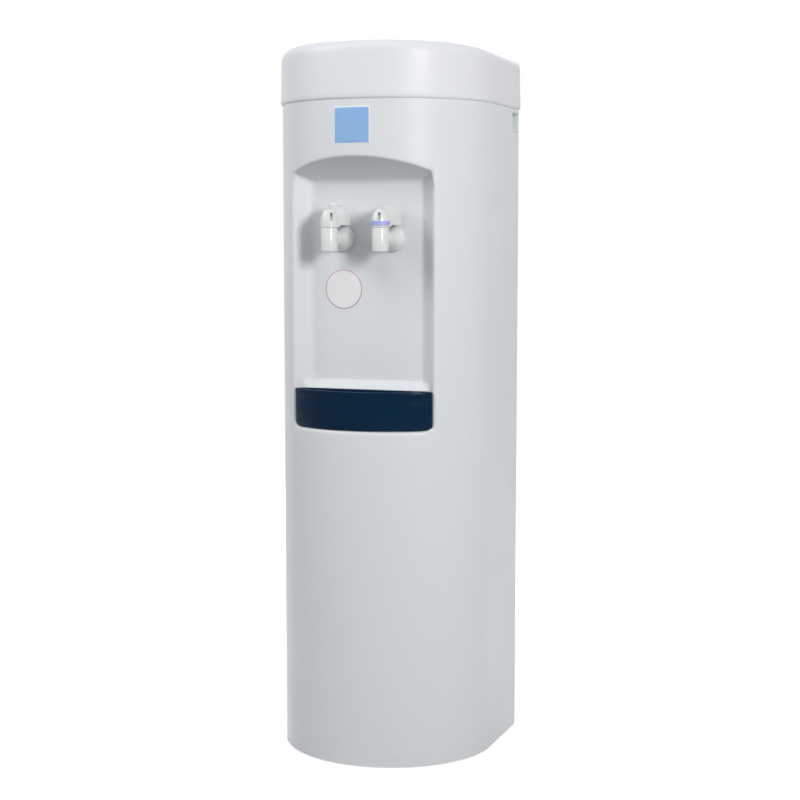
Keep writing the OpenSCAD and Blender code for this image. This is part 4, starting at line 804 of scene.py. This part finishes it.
def hoodPlan():
    radius, back, corner = hoodForm["radius"], hoodForm["back"], hoodForm["backCorner"]
    half = arcPoints(0, 0, radius, range(-90, 1, 9))
    half += [(hoodHalf(y), y) for y in (1.5, 3, 4.5, 6, 7.5, 9, 10.5, 13, 16, 20, 25, 30, 34)]
    cornerX = hoodForm["backHalf"] - corner
    half += arcPoints(cornerX, back - corner, corner, range(0, 91, 15))
    half += [(cornerX - 3.5, back), (cornerX - 7, back), (0, back)]
    return [(-x, y) for x, y in reversed(half)] + half[1:]


hoodOutline = hoodPlan()


def hoodPlace(column, row):
    x, y = hoodOutline[column]
    boxy = smoothStep((y - hoodForm["boxFrom"]) / hoodForm["boxRun"])
    inward, rise = [dome + (box - dome) * boxy for dome, box in zip(domeRise[row], boxRise[row])]
    spineY = min(max(y, hoodForm["spineFront"]), hoodForm["spineBack"])
    z = hoodFoot(y) + (hoodCrown(spineY) - hoodFoot(y)) * rise
    return Vector((x * (1 - inward), y + (spineY - y) * inward, z)) * mm


# The room that the barrel needs under the hood, as it stands when the lever is pressed
def pressedBarrel():
    room = turnedPiece([(radius + leverPivot["clearance"], y) for radius, y in barrelProfile], 72)
    placed(room, turn=(-90, 0, 0), at=(0, -leverPivot["y"], -leverPivot["z"]))
    placed(room, turn=(leverPivot["press"], 0, 0), at=(0, leverPivot["y"], leverPivot["z"]))
    return room


# The lever is a thin moulded hood with a blind slot in front, and inside it the hub, a web and two fingers
def tapLever(side, name, body, pocket, slotX):
    lever = laidSheet(name, len(hoodOutline), len(domeRise), hoodPlace)
    tidyMesh(lever, 0.00002)
    if max(lever.data.polygons, key=lambda face: face.center.z).normal.z < 0:
        lever.data.flip_normals()
    addModifier(lever, "SOLIDIFY", thickness=hoodForm["wall"] * mm, offset=-1, use_even_offset=False)
    cut(lever, pressedBarrel())
    faceY = -math.sqrt(hoodForm["radius"] ** 2 - slotX ** 2)
    half, low, high, border = slotForm["half"], slotForm["low"], slotForm["high"], slotForm["border"]
    slotBack = boxPiece((slotX - 2 * half, faceY + 1.6, low - border),
                        (slotX + 2 * half, faceY + 5.4, high + 1.6))
    for piece in (lever, slotBack):
        cut(piece, boxPiece((slotX - half, -16, low), (slotX + half, faceY + slotForm["depth"], high), 0.5))
    if pocket:
        cut(lever, boxPiece((-5.3, 13.2, 36), (5.3, 21.8, 52), 1.2, 3))
    pin = leverPivot["pin"]
    hub = turnedPiece([(pin, -4.6), (2.5, -4.6), (2.8, -4.3), (2.8, 4.3), (2.5, 4.6), (pin, 4.6)], 32,
                      hollow=True)
    placed(hub, turn=(0, 90, 0), at=(0, leverPivot["y"], leverPivot["z"]))
    web = boxPiece((-4.4, 5.6, 26.2), (4.4, 8.8, 42.4), 0.4)
    prongs = [boxPiece((x - 1, -0.5, 24.3), (x + 1, 5.9, 26.7), 0.3) for x in (-3.5, 3.5)]
    lever = join([lever, slotBack, hub, web] + prongs)
    return finish(atTap(lever, side), name, "tap_white", [name.replace("_hood", "_lever")], 50, body=body)


for side, temperature, slotX in ((1, "cold", 2.3), (-1, "hot", 6.4)):
    tapBody(side, temperature + "_tap_spout")
    tapBonnet(side, temperature + "_tap_collar")
    tapLever(side, temperature + "_tap_hood", temperature + "_lever", side < 0, slotX)

# The strip follows the round foot of the cold hood and runs a little along its right side
stripForm = {"low": 16.7, "high": 23.0, "lift": 0.3, "left": -72, "rightEnd": 4.0,
             "arcColumns": 28, "endColumns": 3, "rows": 4, "thick": 0.25}


def stripPlace(column, row):
    radius = hoodForm["radius"] + stripForm["lift"]
    arcColumns = stripForm["arcColumns"]
    z = stripForm["low"] + (stripForm["high"] - stripForm["low"]) * row / stripForm["rows"]
    if column <= arcColumns:
        angle = math.radians(stripForm["left"] + (90 - stripForm["left"]) * column / arcColumns)
        return Vector((radius * math.sin(angle), -radius * math.cos(angle), z)) * mm
    return Vector((radius, stripForm["rightEnd"] * (column - arcColumns) / stripForm["endColumns"], z)) * mm


strip = laidSheet("cold_blue_strip", stripForm["arcColumns"] + stripForm["endColumns"] + 1,
                  stripForm["rows"] + 1, stripPlace)
faceForward(strip)
addModifier(strip, "SOLIDIFY", thickness=stripForm["thick"] * mm, offset=-1)
finish(atTap(strip, 1), "cold_blue_strip", "blue_film", ["cold_tap_strip"], 30, material=stripBlue,
       body="cold_lever")

catch = boxPiece((-5, 13.5, 38.4), (5, 21.5, 49.1), 1.6, 5)
finish(atTap(catch, -1), "hot_catch_button", "tap_white", ["hot_safety_catch"], 50, body="hot_catch")
print("stage: taps")


# A smooth tube follows a route of points
def tubePiece(name, route, radius, sides):
    clearSelection()
    bpy.ops.curve.primitive_nurbs_path_add()
    piece = bpy.context.object
    piece.name = name
    line = piece.data
    line.splines.clear()
    spline = line.splines.new("POLY")
    spline.points.add(len(route) - 1)
    for point, place in zip(spline.points, route):
        point.co = (*(Vector(place) * mm), 1)
    line.dimensions = "3D"
    line.bevel_depth = radius * mm
    line.bevel_resolution = sides // 4 - 1
    line.use_fill_caps = True
    bpy.ops.object.convert(target="MESH")
    piece = bpy.context.object
    tidyMesh(piece)
    return piece


# Condenser: the serpentine tube, its two layers of wires and the rails
condenserForm = {"low": 250.0, "pitch": 46.0, "runs": 12, "half": 91.8, "y": 155.9, "tube": 2.5,
                 "endX": 87.8, "inner": 118.5, "cornerTurn": 8.0, "wire": 0.8, "wires": 20, "wirePitch": 8.0,
                 "overhang": 12.0}
condenserForm["top"] = condenserForm["low"] + condenserForm["pitch"] * (condenserForm["runs"] - 1)


def condenserRoute():
    form = condenserForm
    top = form["top"]
    half = form["pitch"] / 2
    turn = form["cornerTurn"]

    def leg(z):
        bend = arcPoints(form["endX"] - turn, form["y"] - turn, turn, range(90, -1, -15))
        return [(x, y, z) for x, y in bend]

    route = [(form["endX"], form["inner"], top)] + leg(top)[::-1]
    for run in range(form["runs"] - 1):
        side = -1 if run % 2 == 0 else 1
        bend = arcPoints(form["half"], top - form["pitch"] * (run + 0.5), half, range(90, -91, -12))
        route += [(side * x, form["y"], z) for x, z in bend]
    return route + leg(form["low"]) + [(form["endX"], form["inner"], form["low"])]


def condenserWires():
    form = condenserForm
    low, top, radius = form["low"] - form["overhang"], form["top"] + form["overhang"], form["wire"]
    wires = []
    for layer in (-1, 1):
        for index in range(form["wires"]):
            wire = turnedPiece([(0.5, low), (radius, low + 0.4), (radius, top - 0.4), (0.5, top)], 8)
            x = (index - (form["wires"] - 1) / 2) * form["wirePitch"]
            wires.append(placed(wire, at=(x, form["y"] + layer * (form["tube"] + radius), 0)))
    return join(wires)


condenserTube = tubePiece("condenser_tube", condenserRoute(), condenserForm["tube"], 16)
finish(condenserTube, "condenser_tube", "black_metal", ["condenser_coil"], 60)
finish(condenserWires(), "condenser_wire_layers", "black_metal", ["condenser_wires"], 60)


# Sheet and moulded pieces keep their solid's shape, with eased edges
def easedPiece(node, name, width, segments=2, body="cooler"):
    return finish(easedCopy(node, width, segments), name, slotOf[node], [node], 35, True, body=body)


easeWidths = {"condenser_rails": 0.35, "base_pan": 0.4, "hot_switch_housing": 0.7, "rear_panel_screws": 0.12,
              "uprights": 0.3, "cold_shelf": 0.3, "hot_shelf": 0.3, "relay_cover": 1.2, "cold_cover": 0.9}
for node, width in easeWidths.items():
    easedPiece(node, node + "_eased", width)
for node, name in (("water_lines", "water_hoses"), ("refrigerant_lines", "copper_lines")):
    piece = easedCopy(node, 0)
    addModifier(piece, "SUBSURF", levels=1, render_levels=1)
    finish(piece, name, slotOf[node], [node], 60)
easedPiece("cold_insulation", "foam_shell", 1.6, 3)
print("stage: condenser and sheet metal")

# Rear panel with a pressed hood over each vent
rearFace = 126.0
ventForm = {"x": 52.0, "low": 160.0, "pitch": 14.0, "count": 5, "width": 84.0, "height": 9.0, "reach": 3.2,
            "end": 0.6}
panelPieces = [easedCopy("rear_panel", 0.2, 2)]
reach, height = ventForm["reach"], ventForm["height"]
ventProfile = [(0, height / 2), (reach * 0.45, height * 0.42), (reach * 0.85, height * 0.18),
               (reach, -height * 0.3), (reach - 0.8, -height * 0.3), (reach * 0.6, height * 0.1),
               (0, height * 0.36)]
endX = ventForm["width"] / 2 - ventForm["end"]
for side in (-1, 1):
    for index in range(ventForm["count"]):
        hood = pulledOutline(ventProfile, ventForm["width"], "YZ")
        roundEdges(hood, 0.25, 2)
        ends = [boxPiece((end * endX - ventForm["end"], 0, -height * 0.3),
                         (end * endX + ventForm["end"], reach * 0.8, height * 0.2), 0.4) for end in (-1, 1)]
        hood = join([hood] + ends)
        z = ventForm["low"] + ventForm["pitch"] * index
        panelPieces.append(placed(hood, at=(side * ventForm["x"], rearFace - 0.1, z)))
finish(join(panelPieces), "rear_panel_louvred", "sheet_steel", ["rear_panel"], 35, True)

# Feet: a rubber pad round the foot of a threaded stem
feetForm = {"pad": 14.0, "frontShare": 0.6, "root": 4.4, "thread": 5.0, "pitch": 0.95, "turns": 6, "low": 8.0,
            "top": 14.0}
low, high = boxOf("feet")
footSpots = [(feetForm["frontShare"] * plan["halfWidth"], low[1] + feetForm["pad"]),
             (high[0] - feetForm["pad"], high[1] - feetForm["pad"])]
wide, root = feetForm["pad"], feetForm["root"]
threads = [(root, feetForm["low"])]
for k in range(feetForm["turns"]):
    threads += [(feetForm["thread"], 8.4 + k * feetForm["pitch"]), (root, 8.85 + k * feetForm["pitch"])]
feet = []
for side in (-1, 1):
    for x, y in footSpots:
        pad = turnedPiece([(12.4, 0), (13.6, 0.5), (wide, 1.6), (wide, 3.0), (13.5, 3.4), (13.5, 4.0),
                           (wide, 4.4), (13.8, 6.4), (12.6, 8.0), (10.2, 9.0), (5, 9.1)], 48)
        stem = turnedPiece(threads + [(root, feetForm["top"])], 32)
        feet.append(placed(join([pad, stem]), at=(side * x, y, 0)))
finish(join(feet), "levelling_feet", "rubber_grey", ["feet"], 40)


# A piece turned along Z is laid along Y, on a CAD node's axis
def alongAxis(piece, node):
    x, _, z = middleOf(node)
    return placed(piece, turn=(-90, 0, 0), at=(x, 0, z))


# Ribs round a cap or a knob, turned about an axis
def ribRing(count, axis, low, high, ease=0, segments=2):
    return [placed(boxPiece(low, high, ease, segments), turn=[a * 360 * index / count for a in axis])
            for index in range(count)]


# A fitting in the rear panel, from (radius, depth) pairs in from its outer end, then from its inner end
def fitting(node, outer, inner):
    low, high = [corner[1] for corner in boxOf(node)]
    profile = [(radius, high - depth) for radius, depth in outer]
    profile += [(radius, low + depth) for radius, depth in inner]
    return alongAxis(turnedPiece(profile, 48, hollow=True), node)


inlet = fitting("inlet_fitting", [(3.2, 16), (3.2, 0), (7.2, 0), (8.3, 0.5), (8.5, 1.4), (8.5, 5.6),
                                  (8.0, 6.6), (7.0, 7.0), (7.0, 10.5), (6.7, 11), (7.0, 11.5)],
                [(7.0, 1), (6.4, 0), (3.2, 0)])
nutProfile = [(9.6, 0.2), (10.9, 1.0), (10.9, 5.0), (9.8, 5.8), (7.1, 5.8)]
nut = turnedPiece([(radius, rearFace + rise) for radius, rise in nutProfile], 6)
alongAxis(nut, "inlet_fitting")
roundEdges(nut, 0.3, 2)
finish(join([inlet, nut]), "inlet_push_fitting", "inner_white", ["inlet_fitting"])
drain = fitting("drain_fitting", [(3.6, 0), (6.2, 0), (7.0, 0.8), (7.0, 13), (7.6, 14), (11.2, 14),
                                  (12.0, 14.6), (12.0, 16.6), (11.6, 17), (7.0, 17)],
                [(7.0, 6), (7.4, 5.6), (6.3, 0), (3.6, 0)])
finish(drain, "drain_spigot", "inner_white", ["drain_fitting"])
low, high = [corner[1] for corner in boxOf("drain_plug")]
cap = turnedPiece([(7.2, high - 4), (7.2, low), (8.9, low), (9.5, low + 0.6), (9.5, low + 3.0),
                   (8.8, low + 3.6), (8.8, high - 2.2), (8.2, high - 0.8), (7.0, high - 0.2), (4.0, high),
                   (3.6, high - 0.5)], 48)
placed(cap, turn=(-90, 0, 0))
capRibs = 24
cap = join([cap] + ribRing(capRibs, (0, 1, 0), (-0.45, low + 3.8, 8.6), (0.45, high - 2.4, 9.3), 0.2, 1))
drainX, _, drainZ = middleOf("drain_fitting")
placed(cap, at=(drainX, 0, drainZ))
finish(cap, "drain_cap", "rubber_grey", ["drain_plug"])
gland = fitting("cord_gland", [(4.1, 0), (6.9, 0), (7.8, 0.7), (8.0, 1.6), (8.0, 4.2), (8.6, 5.0),
                               (11.2, 5.2), (12.0, 5.9), (12.0, 7.6), (11.7, 8.0), (8.0, 8.0)],
                [(8.0, 2), (7.4, 0), (4.1, 0)])
finish(gland, "cord_gland_bush", "black_plastic", ["cord_gland"])
print("stage: feet and fittings")

# Hot switch rocker with the usual line and ring, one on each half
rockerForm = {"x": -70.0, "y": 127.0, "z": 820.0, "upperFace": 2.37, "lowerFace": 4.87, "slope": 24.2,
              "thick": 0.25, "stroke": 0.7, "line": 4.6, "ring": 2.3, "lineUp": 6.2, "ringDown": 5.1}
easedPiece("hot_switch_rocker", "rocker_button", 0.6, 3, "rocker")
x, y, z, stroke, thick = [rockerForm[key] for key in ("x", "y", "z", "stroke", "thick")]
halfLine, outer = rockerForm["line"] / 2, rockerForm["ring"]
lineMark = boxPiece((-stroke / 2, -0.2, -halfLine), (stroke / 2, thick, halfLine), 0.1)
placed(lineMark, at=(x, y + rockerForm["upperFace"], z + rockerForm["lineUp"]))
ringMark = turnedPiece([(outer - stroke, -0.2), (outer, -0.2), (outer, thick), (outer - stroke, thick)], 32,
                       hollow=True)
placed(ringMark, turn=(rockerForm["slope"] - 90, 0, 0),
       at=(x, y + rockerForm["lowerFace"], z - rockerForm["ringDown"]))
finish(join([lineMark, ringMark]), "rocker_marks", "tap_white", (), 30, material=markWhite, body="rocker")

# Thermostat: its knurled knob stands in a numbered scale on the rear panel
dialForm = {"x": 70.06, "z": 820.0, "low": rearFace + 0.4, "high": rearFace + 4.2, "ribs": 36,
            "marks": 7, "sweep": 270, "tickFrom": 11.0, "tickTo": 13.0, "numberAt": 16.2, "numberSize": 4.0,
            "numberDepth": 0.1}
easedPiece("cold_thermostat", "thermostat_case", 0.5)
low, high = dialForm["low"], dialForm["high"]
knob = turnedPiece([(3.3, low), (9.2, low), (9.2, high - 0.6), (8.8, high + 0.1), (8.0, high + 0.4),
                    (5.2, high + 0.4), (4.6, high - 0.1), (3.3, high - 0.1)], 72, hollow=True)
ribs = ribRing(dialForm["ribs"], (0, 0, 1), (-0.28, 9.0, low + 0.3), (0.28, 9.6, high - 0.7))
pointer = boxPiece((-0.45, 5.4, high + 0.3), (0.45, 9.0, high + 0.7))
knob = join([knob, pointer] + ribs)
placed(knob, turn=(-90, 0, 0), at=(dialForm["x"], 0, dialForm["z"]))
finish(knob, "thermostat_knob", "black_plastic")
scale = []
for index in range(dialForm["marks"]):
    turn = dialForm["sweep"] * (0.5 - index / (dialForm["marks"] - 1))
    tick = boxPiece((-0.3, -0.1, dialForm["tickFrom"]), (0.3, 0.12, dialForm["tickTo"]))
    placed(tick, turn=(0, turn, 0), at=(dialForm["x"], rearFace, dialForm["z"]))
    clearSelection()
    bpy.ops.object.text_add()
    number = bpy.context.object
    number.data.body = str(index + 1)
    number.data.size = dialForm["numberSize"] * mm
    number.data.extrude = dialForm["numberDepth"] * mm
    number.data.align_x = "CENTER"
    number.data.align_y = "CENTER"
    bpy.ops.object.convert(target="MESH")
    number = bpy.context.object
    x, z = arcPoints(dialForm["x"], dialForm["z"], dialForm["numberAt"], [90 - turn])[0]
    placed(number, turn=(90, 0, 180), at=(x, rearFace, z))
    tidyMesh(number)
    scale += [tick, number]
finish(join(scale), "thermostat_scale", "black_plastic", (), 20)
print("stage: switch and thermostat")

# Camera
camera = {"at": (0.8469, -2.2459, 0.7287), "heading": 20.427, "pitch": 5.554, "lens": 75.22, "sensor": 36}
cameraData = bpy.data.cameras.new("photo_camera")
cameraData.lens = camera["lens"]
cameraData.sensor_width = camera["sensor"]
cameraObject = bpy.data.objects.new("photo_camera", cameraData)
cameraObject.location = camera["at"]
cameraObject.rotation_euler = (math.radians(90 - camera["pitch"]), 0, math.radians(camera["heading"]))
bpy.context.scene.collection.objects.link(cameraObject)
bpy.context.scene.camera = cameraObject


# Floor, light and world: 1 for a ray from the camera, or from a shiny or clear surface
def seenRays(tree):
    rays = newNode(tree, "LightPath")
    seen = rays.outputs["Is Camera Ray"]
    for kind in ("Is Glossy Ray", "Is Transmission Ray"):
        both = newNode(tree, "Math")
        both.operation = "MAXIMUM"
        tree.links.new(seen, both.inputs[0])
        tree.links.new(rays.outputs[kind], both.inputs[1])
        seen = both.outputs[0]
    return seen


studio = {"fill": 0.5, "keyPower": 27.5, "sidePower": 16.0, "backPower": 22.0, "floorSize": 14,
          "floorBounce": 0.25, "floorSeen": 0.95, "floorGlow": 0.57}
clearSelection()
bpy.ops.mesh.primitive_plane_add(size=studio["floorSize"], location=(0, 2, 0))
floor = bpy.context.object
floor.name = "studio_floor"
floorPaint = bpy.data.materials.new("floor_white")
floorPaint.use_nodes = True
floorTree = floorPaint.node_tree
floorTree.nodes.clear()
floorOut = newNode(floorTree, "OutputMaterial")
floorMatt = newNode(floorTree, "BsdfDiffuse", {"Color": (studio["floorBounce"],) * 3 + (1,)})
floorPale = newNode(floorTree, "BsdfDiffuse", {"Color": (studio["floorSeen"],) * 3 + (1,)})
floorGlow = newNode(floorTree, "Emission", {"Strength": studio["floorGlow"]})
floorAdd = newNode(floorTree, "AddShader")
floorMix = newNode(floorTree, "MixShader")
for output, socket in ((floorPale.outputs[0], floorAdd.inputs[0]), (floorGlow.outputs[0], floorAdd.inputs[1]),
                       (seenRays(floorTree), floorMix.inputs[0]), (floorMatt.outputs[0], floorMix.inputs[1]),
                       (floorAdd.outputs[0], floorMix.inputs[2]),
                       (floorMix.outputs[0], floorOut.inputs["Surface"])):
    floorTree.links.new(output, socket)
floor.data.materials.append(floorPaint)

world = bpy.data.worlds.new("studio_world")
bpy.context.scene.world = world
world.use_nodes = True
worldTree = world.node_tree
worldTree.nodes.clear()
worldOut = newNode(worldTree, "OutputWorld")
worldLight = newNode(worldTree, "Background", {"Color": (1, 1, 1, 1)})
worldPower = newNode(worldTree, "MapRange", {"To Min": studio["fill"], "To Max": 1.0})
worldTree.links.new(seenRays(worldTree), worldPower.inputs["Value"])
worldTree.links.new(worldPower.outputs["Result"], worldLight.inputs["Strength"])
worldTree.links.new(worldLight.outputs[0], worldOut.inputs["Surface"])


def softLamp(name, at, aim, size, power, tint=(1, 1, 1)):
    lampData = bpy.data.lights.new(name, "AREA")
    lampData.shape = "RECTANGLE"
    lampData.size, lampData.size_y = size
    lampData.energy = power
    lampData.color = tint
    lamp = bpy.data.objects.new(name, lampData)
    lamp.location = at
    lamp.rotation_euler = (Vector(aim) - Vector(at)).to_track_quat("-Z", "Y").to_euler()
    bpy.context.scene.collection.objects.link(lamp)
    return lamp


softLamp("key_front_right", (1.7, -1.6, 1.3), (0, -0.05, 0.7), (0.36, 0.5), studio["keyPower"])
softLamp("back_soft", (-0.5, 2.4, 1.7), (0, 0.1, 0.5), (1.4, 1.4), studio["backPower"])
softLamp("side_left", (-1.5, -1.0, 1.85), (0, 0, 0.9), (1.0, 1.0), studio["sidePower"], (0.95, 0.98, 1))
bpy.context.scene.view_settings.view_transform = "Standard"
print("stage: camera and light")
